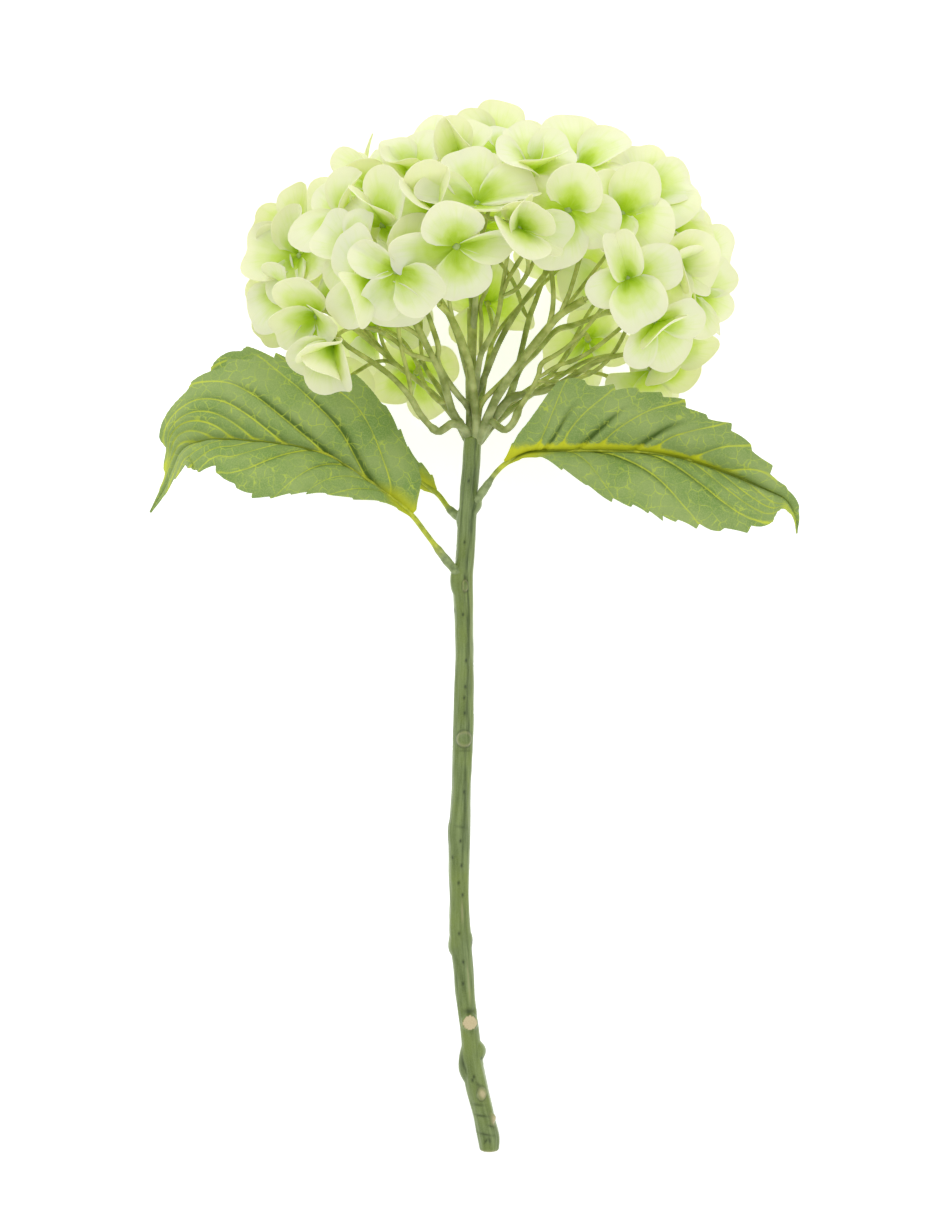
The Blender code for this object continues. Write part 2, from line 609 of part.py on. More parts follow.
def build_leaf(name, leaf, collection):
    """A leaf: the blade, and the petiole that runs on under it as the midrib's rib."""
    blade = leaf_blade(name, leaf, collection)
    rib = [(x, y, z - 0.5) for x, y, z in leaf["midrib"][1:-2]]
    route = smooth_route(leaf["petiole"] + rib, 9.0)
    last = len(route) - 1
    radii = [PETIOLE_RADII[0] + (PETIOLE_RADII[1] - PETIOLE_RADII[0]) * i / last
             for i in range(last + 1)]
    stalk = start_collection(name + "_stalk")
    make_tube(name + "_petiole", [lay_point(p) for p in route], [r * MM for r in radii], 1, stalk)
    boolean(blade, "UNION", stalk)
    room = start_collection(name + "_room")
    cane_pieces(GAP, room, name + "_cane_clearance")
    boolean(blade, "DIFFERENCE", room)
    keep_largest_body(blade)
    return blade


def main():
    for thing in list(bpy.data.objects):
        bpy.data.objects.remove(thing)
    flower = start_collection("cut_hydrangea")
    bark = make_material("cane_bark", (0.17, 0.21, 0.08), 0.55)
    ray_green = make_material("ray_green", (0.28, 0.33, 0.13), 0.5)
    petal = make_material("petal_lime_white", (0.72, 0.88, 0.45), 0.6)
    leaf_green = make_material("leaf_green", (0.14, 0.27, 0.09), 0.5)

    florets = place_florets()
    finish(build_cane(flower), bark, flower)
    finish(build_branches(florets, flower), ray_green, flower)
    finish(build_florets(florets, flower), petal, flower)
    for name, leaf in LEAVES.items():
        finish(build_leaf(name, leaf, flower), leaf_green, flower)


main()
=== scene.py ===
"""Looks of the cut hydrangea: moulded cane, branching rays, silk florets and toothed leaves.

Everything is placed in the stem's own frame, in millimetres: across (to the right), along (from
the cut end towards the bloom) and up (towards someone who looks down on it). lay() tips that
frame by the angle at which the stem lies and gives metres.
"""

import math
import random

import bpy
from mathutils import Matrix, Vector, noise
from mathutils.bvhtree import BVHTree


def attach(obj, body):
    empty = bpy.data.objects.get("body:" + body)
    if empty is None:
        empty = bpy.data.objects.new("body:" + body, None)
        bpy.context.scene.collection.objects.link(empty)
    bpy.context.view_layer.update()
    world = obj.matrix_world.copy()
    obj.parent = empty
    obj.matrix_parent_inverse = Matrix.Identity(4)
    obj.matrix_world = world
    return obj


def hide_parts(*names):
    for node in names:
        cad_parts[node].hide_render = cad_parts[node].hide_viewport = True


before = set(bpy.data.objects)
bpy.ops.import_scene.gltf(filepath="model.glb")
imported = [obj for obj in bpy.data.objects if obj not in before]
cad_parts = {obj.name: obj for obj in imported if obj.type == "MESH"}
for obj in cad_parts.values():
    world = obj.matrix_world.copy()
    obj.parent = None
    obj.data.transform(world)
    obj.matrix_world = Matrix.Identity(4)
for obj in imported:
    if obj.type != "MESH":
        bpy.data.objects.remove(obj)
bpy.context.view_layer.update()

# --- Cane ---------------------------------------------------------------------------------------
# The cane is one stem of soft polyethylene moulded over a wire, with the knots, leaf scars and
# lenticels of a real hydrangea cane in the mould and a green wash over it. Its cut end is rounded,
# and a cut twig shows its pale wood.

MM = 0.001
LIE_ANGLE = math.radians(13.4)
CUT_END = Vector((-1.95, -237.46, 3.5))  # where the middle of the cut end is on the table, mm

# Across, along, diameter.
CANE_ROUTE = [
    (8.8, 0.0, 8.4), (8.4, 7.0, 10.0), (6.2, 17.0, 9.6), (3.4, 29.0, 10.0), (1.4, 40.0, 9.4),
    (0.3, 52.0, 8.8), (-1.8, 68.0, 8.6), (-3.2, 85.0, 9.0), (-4.6, 100.0, 9.8), (-4.9, 117.0, 9.2),
    (-4.8, 145.0, 9.6), (-3.8, 167.0, 8.6), (-3.2, 189.0, 9.0), (-2.8, 210.0, 8.6),
    (-2.6, 228.0, 8.0), (-2.8, 245.0, 8.2), (-3.2, 262.0, 8.8), (-2.3, 272.0, 8.2),
    (-1.6, 284.0, 8.2), (-0.6, 300.0, 8.2), (0.7, 314.0, 8.2), (1.3, 327.5, 8.0),
]
# Swellings where side shoots and leaves grew: across, along, up, radius across, along.
CANE_KNOBS = [
    (-5.6, 262.0, 0.8, 3.4, 6.5), (2.6, 297.0, 1.0, 2.9, 4.5), (-3.6, 290.0, -1.2, 2.8, 4.5),
    (-3.2, 188.6, 3.0, 2.6, 3.2), (-7.6, 146.0, 0.6, 2.4, 5.5), (-0.8, 97.0, 0.8, 1.8, 3.6),
    (-8.2, 94.5, 0.4, 1.8, 4.2), (-2.6, 40.5, 0.4, 2.4, 7.5), (5.2, 46.5, 0.8, 2.2, 4.0),
    (4.6, 27.5, 3.2, 2.2, 2.6), (9.6, 16.0, 3.0, 2.0, 2.2),
]
KNOB_SPREAD = (1.15, 1.35)  # how far their feet reach, in their radii along and round
STUB = (0.0, 59.8, 3.2, 5.5)  # the cut twig: across, along, radius, height over the cane's middle
STUB_SPREAD = 1.35  # how far its foot reaches, in its radii
# Scars and creases on the upper side: across, along, half width, half length, turn in degrees,
# how far it stands up (or down) in mm, how dark it is and how much pale wood shows; on the thin
# raised ridges that pale is a painted highlight, not wood.
CANE_MARKS = [
    (-0.2, 64.7, 3.0, 1.3, 0, -0.55, 0.75, 0.0), (-2.7, 41.0, 0.7, 5.4, -8, -0.55, 0.8, 0.0),
    (5.3, 27.4, 1.2, 2.0, 0, 0.25, 0.0, 0.75), (4.4, 31.0, 2.4, 0.7, 40, -0.3, 0.6, 0.0),
    (3.6, 22.2, 3.2, 0.7, 4, -0.35, 0.6, 0.0), (4.9, 17.2, 4.0, 0.6, 6, -0.4, 0.7, 0.0),
    (10.2, 15.4, 1.1, 2.1, 0, 0.2, 0.0, 0.8), (9.6, 12.4, 2.0, 0.6, 20, -0.3, 0.7, 0.0),
    (6.8, 8.7, 4.0, 0.6, 10, -0.4, 0.7, 0.0), (7.2, 5.7, 0.5, 1.5, 38, -0.35, 0.8, 0.0),
    (8.9, 6.0, 0.5, 1.6, -8, -0.35, 0.8, 0.0), (-2.2, 262.5, 0.6, 2.4, -16, -0.4, 0.8, 0.0),
    (-2.3, 256.6, 1.2, 0.5, 0, -0.3, 0.6, 0.0), (-4.2, 149.0, 3.6, 0.6, 12, -0.25, 0.35, 0.0),
    (-2.4, 183.8, 3.8, 0.6, 0, -0.25, 0.4, 0.0), (-0.9, 222.0, 0.45, 30.0, 1, -0.18, 0.45, 0.0),
    # The thin ridges at 240, 78 and 110 along are painted pale along their crests: painted highlight.
    (0.6, 240.0, 0.4, 36.0, 0, 0.12, 0.0, 0.12), (-0.7, 78.0, 0.4, 9.0, 0, 0.2, 0.0, 0.25),
    (-3.6, 110.0, 0.4, 5.0, 0, 0.2, 0.0, 0.25), (-3.9, 292.0, 0.4, 22.0, 2, -0.15, 0.4, 0.0),
    (1.4, 305.0, 0.4, 16.0, 4, -0.15, 0.4, 0.0),
]
# Rings that stand up round an old bud: across, along, half width, half length.
CANE_RINGS = [(-2.6, 189.2, 2.9, 3.0), (-2.3, 259.2, 1.1, 2.4), (5.3, 27.4, 1.7, 2.6)]
# Lenticels, the breathing pores of the bark: across, along.
LENTICELS = [
    (-3.2, 246.0), (-1.8, 225.0), (-2.2, 213.0), (-2.6, 208.0), (-2.4, 201.0), (-2.7, 165.0),
    (-4.3, 142.6), (-3.8, 131.4), (-5.2, 123.5), (-3.4, 118.0), (-8.0, 135.0), (-5.0, 100.4),
    (-3.1, 87.4), (-3.2, 77.5), (5.2, 43.0), (1.8, 35.0), (1.1, 33.4), (-0.6, 307.0), (-2.6, 279.0),
]
LENTICEL_SIZE = (0.55, 1.0, 0, -0.35, 1.0, 0.0)  # as in CANE_MARKS, from the half width on
HIDDEN_LENTICELS = 46
HIDDEN_SIDE = (0.4, 1.6)  # half turns from the top
HIDDEN_STRETCH = (6, 318)  # along
CANE_SEED = 4
# Long ridges in the bark, and short lumps: height, how fine round the cane, length along it.
BARK_RIDGES = (0.48, 2.6, 34)
BARK_LUMPS = (0.26, 5.5, 9)
RING_RISE = 0.6
BUD_RISE = 1.1  # how far the bud inside a ring stands up
CUT_ROUNDING = 1.6  # along the stem at the cut end
TOP_EASE = (0.9, 1.5)  # how deep the edge at the top is eased, and over what length
CANE_COLUMNS = 56
CANE_ROWS = 640


def lay(across, along, up):
    """A point of the stem's own frame, in mm, as a point of the lying stem, in metres."""
    x = CUT_END.x + across
    y = CUT_END.y + along * math.cos(LIE_ANGLE) - up * math.sin(LIE_ANGLE)
    z = CUT_END.z + along * math.sin(LIE_ANGLE) + up * math.cos(LIE_ANGLE)
    return Vector((x, y, z)) * MM


def smooth_route(points, step):
    """Points about step apart on a smooth curve through the given ones (Catmull-Rom).

    A point is a tuple of any length: place first, then whatever follows it, such as a diameter.
    """
    ends = [tuple(2 * a - b for a, b in zip(points[0], points[1]))]
    ends += points
    ends.append(tuple(2 * a - b for a, b in zip(points[-1], points[-2])))
    route = []
    for i in range(1, len(ends) - 2):
        before, here, there, after = ends[i - 1:i + 3]
        pieces = max(1, round(math.dist(here[:3], there[:3]) / step))
        for k in range(pieces):
            t = k / pieces
            route.append(tuple(
                0.5 * (2 * b + (c - a) * t + (2 * a - 5 * b + 4 * c - d) * t ** 2
                       + (3 * b - a - 3 * c + d) * t ** 3)
                for a, b, c, d in zip(before, here, there, after)))
    route.append(tuple(points[-1]))
    return route


def along_route(route, share):
    """The point a share of the way through a route's list."""
    spot = min(max(share, 0.0), 1.0) * (len(route) - 1)
    i = min(int(spot), len(route) - 2)
    t = spot - i
    return tuple(a + (b - a) * t for a, b in zip(route[i], route[i + 1]))


def select_only(*pieces):
    """Select these objects alone and make the first of them active."""
    bpy.ops.object.select_all(action="DESELECT")
    for piece in pieces:
        piece.select_set(True)
    bpy.context.view_layer.objects.active = pieces[0]


def unit_grid(name, columns, rows):
    """A grid one unit wide and long, with its corner at the origin and a UV map to match."""
    bpy.ops.object.select_all(action="DESELECT")
    bpy.ops.mesh.primitive_grid_add(
        x_subdivisions=columns, y_subdivisions=rows, size=1.0, location=(0.5, 0.5, 0.0))
    grid = bpy.context.object
    grid.name = name
    bpy.ops.object.transform_apply(location=True, rotation=False, scale=False)
    return grid


def close_tube(tube):
    """Merge a rolled grid along its seam, close its ends and turn its faces outwards."""
    select_only(tube)
    bpy.ops.object.mode_set(mode="EDIT")
    bpy.ops.mesh.select_all(action="SELECT")
    bpy.ops.mesh.remove_doubles(threshold=1e-6)
    bpy.ops.mesh.fill_holes(sides=0)
    bpy.ops.mesh.select_all(action="SELECT")
    bpy.ops.mesh.normals_make_consistent(inside=False)
    bpy.ops.object.mode_set(mode="OBJECT")


def finish_piece(piece, material, nodes, smooth_angle=math.radians(60)):
    """Shade a piece, give it its material and tie it to the frame."""
    select_only(piece)
    bpy.ops.object.shade_smooth_by_angle(angle=smooth_angle)
    if material is not None:
        piece.data.materials.clear()
        piece.data.materials.append(material)
    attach(piece, "root")
    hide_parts(*nodes)


def linear(code):
    """An sRGB hex colour as linear RGBA."""
    parts = [int(code[i:i + 2], 16) / 255 for i in (1, 3, 5)]
    parts = [p / 12.92 if p <= 0.04045 else ((p + 0.055) / 1.055) ** 2.4 for p in parts]
    return (*parts, 1.0)


def set_inputs(node, inputs):
    """Set a node's inputs: to a value or a hex colour, or linked to a node or one of its outputs."""
    for socket, value in inputs.items():
        if isinstance(value, bpy.types.Node):
            value = next(output for output in value.outputs if output.enabled)
        if isinstance(value, bpy.types.NodeSocket):
            node.id_data.links.new(value, node.inputs[socket])
        else:
            is_colour = isinstance(value, str)
            node.inputs[socket].default_value = linear(value) if is_colour else value


def add_node(material, kind, inputs=None, **settings):
    """A shader node with its settings and its inputs."""
    node = material.node_tree.nodes.new("ShaderNode" + kind)
    for name, value in settings.items():
        setattr(node, name, value)
    set_inputs(node, inputs or {})
    return node


def blend(material, share, first, second):
    """The first colour, turning into the second as the share goes from 0 to 1."""
    return add_node(material, "Mix", {0: share, 6: first, 7: second}, data_type="RGBA")


def remap(material, value, old_range, new_range=(0.0, 1.0), shape="LINEAR"):
    """A value carried over from one range to another and held inside it."""
    return add_node(material, "MapRange", {
        "Value": value, "From Min": old_range[0], "From Max": old_range[1],
        "To Min": new_range[0], "To Max": new_range[1]}, interpolation_type=shape)


def calculate(material, operation, *values):
    """One step of arithmetic on values, nodes or outputs."""
    return add_node(material, "Math", dict(enumerate(values)), operation=operation)


def product(material, *values):
    """The product of two or more values, nodes or outputs."""
    result = values[0]
    for value in values[1:]:
        result = calculate(material, "MULTIPLY", result, value)
    return result


def distance(material, value, middle):
    """How far a value is from a middle, either way."""
    return calculate(material, "ABSOLUTE", calculate(material, "SUBTRACT", value, middle))


def noise_over(material, place, scale, detail):
    """Soft noise, with about as many waves to the place's unit as the scale says."""
    return add_node(material, "TexNoise", {"Vector": place, "Scale": scale, "Detail": detail})


def new_material(name):
    """A material with its principled shader, which is returned too."""
    material = bpy.data.materials.new(name)
    material.use_nodes = True
    return material, material.node_tree.nodes["Principled BSDF"]


def write_values(piece, name, values, kind="FLOAT", field="value"):
    """Write an attribute with a value for each vertex, for the material to read."""
    attribute = piece.data.attributes.new(name, kind, "POINT")
    attribute.data.foreach_set(field, values)


def cane_marks():
    """Every mark of the cane as (turn round it, along, ...) with the sizes of CANE_MARKS."""
    rows = []
    for across, along, *rest in CANE_MARKS + [(*spot, *LENTICEL_SIZE) for spot in LENTICELS]:
        centre = cane_at(along)
        rows.append((turn_seen(across, centre), along, *rest))
    dice = random.Random(CANE_SEED)
    for _ in range(HIDDEN_LENTICELS):
        turn = dice.uniform(*HIDDEN_SIDE) * math.pi
        rows.append((turn, dice.uniform(*HIDDEN_STRETCH), *LENTICEL_SIZE))
    return rows


CANE_LINE = smooth_route([(across, along, 0.0, width) for across, along, width in CANE_ROUTE], 1.0)


def cane_at(along):
    """The cane's middle and diameter at a place along the stem."""
    low, high = 0, len(CANE_LINE) - 1
    while high - low > 1:
        middle = (low + high) // 2
        if CANE_LINE[middle][1] <= along:
            low = middle
        else:
            high = middle
    here, there = CANE_LINE[low], CANE_LINE[high]
    t = (along - here[1]) / (there[1] - here[1])
    return tuple(a + (b - a) * t for a, b in zip(here, there))


def turn_between(one, other):
    """The shorter turn from one angle to another."""
    return (one - other + math.pi) % (2 * math.pi) - math.pi


def turn_seen(across, centre):
    """The turn round the cane of a mark that is seen at a place across."""
    return math.asin(max(-0.98, min(0.98, (across - centre[0]) / (centre[3] / 2))))


def bark_relief(turn, along, radius, marks):
    """How far the bark stands out at a place, with its darkness and how much pale wood shows, which
    on thin ridges is a painted highlight.
    """
    rise = 0.0
    for height, waves_round, wave_along in (BARK_RIDGES, BARK_LUMPS):
        spot = (math.sin(turn) * waves_round, math.cos(turn) * waves_round, along / wave_along)
        rise += height * noise.noise(Vector(spot))
    dark = pale = 0.0
    for mark_turn, mark_along, wide, long, lean, height, mark_dark, mark_pale in marks:
        off_along = along - mark_along
        if abs(off_along) > long + wide + 1.0:
            continue
        off_round = turn_between(turn, mark_turn) * radius
        tilt = math.radians(lean)
        over = (off_round * math.cos(tilt) - off_along * math.sin(tilt)) / wide
        down = (off_round * math.sin(tilt) + off_along * math.cos(tilt)) / long
        near = over * over + down * down
        if near > 5:
            continue
        strength = math.exp(-near * 1.2)
        lip = 0.22 * math.exp(-(near - 2.2) ** 2) if height < 0 else 0.0
        rise += height * strength + lip * abs(height)
        dark = max(dark, mark_dark * strength)
        pale = max(pale, mark_pale * min(1.0, strength * 1.5))
    return rise, dark, pale


def knob_rise(turn, along, centre, radius):
    """How far the swellings of old nodes stand out at a place."""
    rise = 0.0
    for across, knob_along, up, wide, long in CANE_KNOBS:
        off_along = (along - knob_along) / (long * KNOB_SPREAD[0])
        if abs(off_along) > 1:
            continue
        reach = math.hypot(across - centre[0], up)
        knob_turn = math.atan2(across - centre[0], up)
        off_round = turn_between(turn, knob_turn) * radius / (wide * KNOB_SPREAD[1])
        near = off_along ** 2 + off_round ** 2
        if near < 1:
            rise = max(rise, (reach + wide - radius) * (1 - near) ** 1.2)
    return rise


def add_rings(turn, along, centre, rise, dark, pale):
    """A place's height, darkness and pale wood, with the rings round old buds added, each with a
    painted highlight on its crest and a painted shadow just outside it.
    """
    for across, ring_along, wide, long in CANE_RINGS:
        over = turn_between(turn, turn_seen(across, centre)) * (centre[3] / 2) / wide
        near = math.hypot(over, (along - ring_along) / long)
        if near < 2:
            rise += RING_RISE * math.exp(-((near - 1) / 0.22) ** 2)
            rise += BUD_RISE * math.exp(-near ** 4)
            # Just outside each raised ring a dark line, painted shadow; on its crest a pale line,
            # painted highlight.
            dark = max(dark, 0.5 * math.exp(-((near - 1.35) / 0.16) ** 2))
            pale = max(pale, 0.22 * math.exp(-((near - 1) / 0.2) ** 2))
    return rise, dark, pale


def add_cut_twig(across, along, up, dark, pale):
    """A place's height, darkness and pale wood, with the cut twig's flat end added."""
    stub_across, stub_along, stub_radius, stub_height = STUB
    near = math.hypot(across - stub_across, along - stub_along) / stub_radius
    if up > 0 and near < STUB_SPREAD:
        eased = min(1.0, (STUB_SPREAD - near) / 0.3)
        dish = 0.25 * noise.noise(Vector((across, along, 0)) * 0.9)
        up += (stub_height + dish - up) * eased
        if near < 1:
            pale = 1.0
            dark = 0.25 * max(0.0, math.sin(near * 9))
    return up, dark, pale


def make_cane():
    """The cane's mesh, with its marks kept in a colour attribute: red dark marks and painted shadow,
    green pale wood and painted highlight.
    """
    cane = unit_grid("cane_bark_skin", CANE_COLUMNS, CANE_ROWS)
    marks = cane_marks()
    colours = []
    last = CANE_ROUTE[-1][1]
    for vertex in cane.data.vertices:
        turn = (vertex.co.x - 0.5) * 2 * math.pi
        along = vertex.co.y * last
        centre = cane_at(along)
        radius = centre[3] / 2
        rise, dark, pale = bark_relief(turn, along, radius, marks)
        rise += knob_rise(turn, along, centre, radius)
        rise, dark, pale = add_rings(turn, along, centre, rise, dark, pale)
        outer = radius + rise
        end_left = along / CUT_ROUNDING
        if end_left < 1:
            outer *= 0.35 + 0.65 * math.sqrt(1 - (1 - end_left) ** 2)
            pale = max(pale, 0.5 * (1 - end_left))
        outer -= TOP_EASE[0] * max(0.0, 1 - (last - along) / TOP_EASE[1]) ** 2
        across = centre[0] + outer * math.sin(turn)
        up = outer * math.cos(turn)
        up, dark, pale = add_cut_twig(across, along, up, dark, pale)
        place = lay(across, along, up)
        place.z = max(place.z, 0.0)
        vertex.co = place
        colours += [dark, pale, 0.0, 1.0]
    write_values(cane, "bark_marks_and_painted_light", colours, "FLOAT_COLOR", "color")
    close_tube(cane)
    return cane


def side_rim_highlight(material, from_top, patches):
    """How strong the painted rim highlight is: pale stripes along the cane's two sides."""
    aside = calculate(material, "ABSOLUTE", from_top)
    off_side_line = distance(material, aside, 0.25)
    on_side_line = remap(material, off_side_line, (0.02, 0.1), (1.0, 0.0), "SMOOTHSTEP")
    highlight_strength = remap(material, patches, (0.35, 0.6), (0.35, 0.95))
    return product(material, on_side_line, highlight_strength)


def top_band(material, from_top, along, streaks):
    """How dark the streaky band along the cane's top is."""
    off_band = distance(material, from_top, 0.07)
    band_side = remap(material, off_band, (0.0, 0.09), (0.75, 0.0), "SMOOTHSTEP")
    band_part = remap(material, streaks, (0.4, 0.6), (1.0, 0.0))
    band_along = remap(material, along, (0.3, 0.75), (0.35, 1.0))
    return product(material, band_side, band_part, band_along)


def moulded_bark():
    """Soft green polyethylene, satin, with a streaky green wash and a dark one along its top.

    The streaks are about 2 mm wide and the speckle of the wash about 0.4 mm. Pale stripes along
    the cane's two sides, a quarter turn from the top, are a painted rim highlight.
    """
    material, shader = new_material("moulded_polyethylene_bark")
    marks = add_node(material, "VertexColor", layer_name="bark_marks_and_painted_light")
    parts = add_node(material, "SeparateColor", {"Color": marks})
    place = add_node(material, "UVMap", uv_map="UVMap")
    stretched = add_node(material, "Mapping", {"Vector": place, "Scale": (15.0, 14.0, 1.0)})
    streaks = add_node(material, "TexNoise", {
        "Vector": stretched, "Scale": 1.0, "Detail": 5.0, "Roughness": 0.6})
    where = add_node(material, "TexCoord").outputs["Object"]
    speckle = noise_over(material, where, 2200.0, 2.0)
    patches = noise_over(material, where, 55.0, 3.0)
    contrast = remap(material, streaks, (0.34, 0.68))
    wash = blend(material, contrast, "#52652A", "#82945A")
    patchy = remap(material, patches, (0.42, 0.62), (0.0, 0.7))
    ripe = blend(material, patchy, wash, "#768838")
    grain = remap(material, speckle, (0.35, 0.7), (0.0, 0.22))
    dusted = blend(material, grain, ripe, "#9DAC7C")
    spot = add_node(material, "SeparateXYZ", {"Vector": place})
    from_top = calculate(material, "SUBTRACT", spot.outputs["X"], 0.5)
    # Pale stripes along both sides of the cane: painted rim highlight.
    side_highlit = blend(material, side_rim_highlight(material, from_top, patches), dusted, "#A9B790")
    dark_band = top_band(material, from_top, spot.outputs["Y"], streaks)
    banded = blend(material, dark_band, side_highlit, "#33471C")
    # Red darkens marks and paints the shadow round the bud rings; green lays pale wood on scars and a
    # painted highlight on ridges and ring crests.
    marked_and_shaded = blend(material, parts.outputs["Red"], banded, "#2A3A16")
    wood_and_highlight = blend(material, speckle, "#DCCFA6", "#B9A77C")
    scarred_and_highlit = blend(material, parts.outputs["Green"], marked_and_shaded, wood_and_highlight)
    bump = add_node(material, "Bump", {"Strength": 0.5, "Distance": 0.0004, "Height": streaks})
    set_inputs(shader, {"Base Color": scarred_and_highlit, "Normal": bump, "Roughness": 0.4,
                        "Specular IOR Level": 0.38, "IOR": 1.5})
    return material


cane = make_cane()
finish_piece(cane, moulded_bark(), ["cane"])


# --- Rays and pedicels --------------------------------------------------------------------------
# The bloom's rays are green polyethylene strands moulded over thin wire. They leave the cane's
# sleeve as one bundle, fork, and each last twig ends in a thicker socket that holds a floret.

BLOOM_MIDDLE = Vector((10.0, 388.0, -6.0))
BLOOM_RADII = Vector((92.0, 71.0, 86.0))
BLOOM_LEAN = 0.14  # how the egg's top leans to the right, across for each along
HUB = Vector((3.0, 346.0, 0.0))  # the rays spread from about here
# Florets placed one by one: across, along, side of the bloom (1 upper, -1 lower), how much they
# face across and along, spin, cup, size. Most spins were then varied by up to 12 degrees at random.
PLACED_FLORETS = [
    (-6.0, 406.0, 1, 0.2, -0.6, 98, 5, 1.15), (-32.0, 396.0, 1, 0.1, -0.5, -35, 22, 0.97),
    (-42.0, 392.0, 1, -0.3, -0.5, 43, 40, 0.99), (-50.0, 406.0, 1, -0.5, 0.3, 57, 43, 0.95),
    (-38.0, 417.0, 1, -0.4, 0.4, 37, 38, 1.0), (-54.0, 422.0, 1, -0.55, 0.5, 30, 41, 0.97),
    (-78.0, 411.0, 1, -0.5, 0.0, -10, 34, 1.01), (-68.0, 379.0, 1, -0.4, -0.45, 16, 40, 1.0),
    (-82.0, 396.0, 1, -0.65, -0.2, 46, 36, 0.99), (-60.0, 367.0, 1, -0.2, -0.7, 34, 32, 0.95),
    (-43.0, 438.0, 1, -0.45, 0.62, 40, 39, 1.01), (-25.0, 441.0, 1, -0.3, 0.68, 46, 43, 0.98),
    (-5.0, 444.0, 1, -0.1, 0.68, 42, 45, 1.0), (3.0, 425.0, 1, 0.05, 0.5, 17, 18, 1.08),
    (-17.0, 422.0, 1, -0.2, 0.3, 47, 27, 1.08), (11.0, 459.0, 1, 0.1, 0.6, -4, 47, 1.0),
    (26.0, 441.0, 1, 0.25, 0.58, 31, 45, 1.0), (21.0, 414.0, 1, 0.3, 0.2, 70, 14, 0.97),
    (43.0, 423.0, 1, -0.05, -0.25, 71, 34, 1.0), (49.0, 445.0, 1, 0.1, 0.72, 32, 41, 0.98),
    (69.0, 394.0, 1, 0.08, -0.2, 112, 47, 0.97), (67.0, 423.0, 1, 0.05, 0.12, 61, 42, 0.98),
    (79.0, 434.0, 1, 0.3, 0.48, 20, 42, 0.98), (89.0, 421.0, 1, 0.45, 0.25, 46, 41, 1.01),
    (88.0, 402.0, 1, 0.4, -0.05, 63, 38, 1.0), (102.0, 410.0, 1, 0.72, 0.1, 20, 28, 0.98),
    (100.0, 392.0, 1, 0.7, -0.25, 46, 34, 0.99), (82.0, 376.0, 1, 0.3, -0.6, 23, 34, 0.99),
    (93.0, 372.0, -1, 0.55, -0.6, 26, 22, 0.98), (85.0, 361.0, -1, 0.3, -0.65, 14, 26, 1.0),
    (57.0, 379.0, -1, 0.1, -0.45, 8, 28, 0.98), (-26.0, 363.0, -1, -0.15, -0.3, 60, 18, 0.98),
    (-79.0, 422.0, -1, -0.8, 0.35, 30, 26, 0.9), (-81.0, 387.0, -1, -0.75, -0.3, 38, 26, 0.9),
]
# The rest go one by one to the spot of a fine spiral over the egg that has the most room.
SPIRAL_SPOTS = 500  # all round the egg, before those under the rim are left out
GOLDEN_ANGLE = math.radians(137.508)
LEAST_ROOM = 26.0
RIM_BACK = 342.0  # along, where the bloom's rim is on the table side
RIM_RISE = 0.27
OPEN_MIDDLE = 16.0  # the opening over the cane: across, half width and how far up it goes
OPEN_WIDTH = 30.0
OPEN_RISE = 52.0
OVER_LEAF = -70.0  # left of here the rim stays clear of a leaf
LEAF_RISE = 12.0
FACE_LIFT = 0.3  # how much the spiral's florets turn upwards
LIFT_HEIGHT = 60.0  # how far under the stem's plane the turning starts
AWAY_SHARE = 0.28  # how much they face away from the hub
SPIRAL_CUP = (8, 22)  # degrees
SPIRAL_SIZE = (1.08, 1.16)
FLORET_SEED = 32
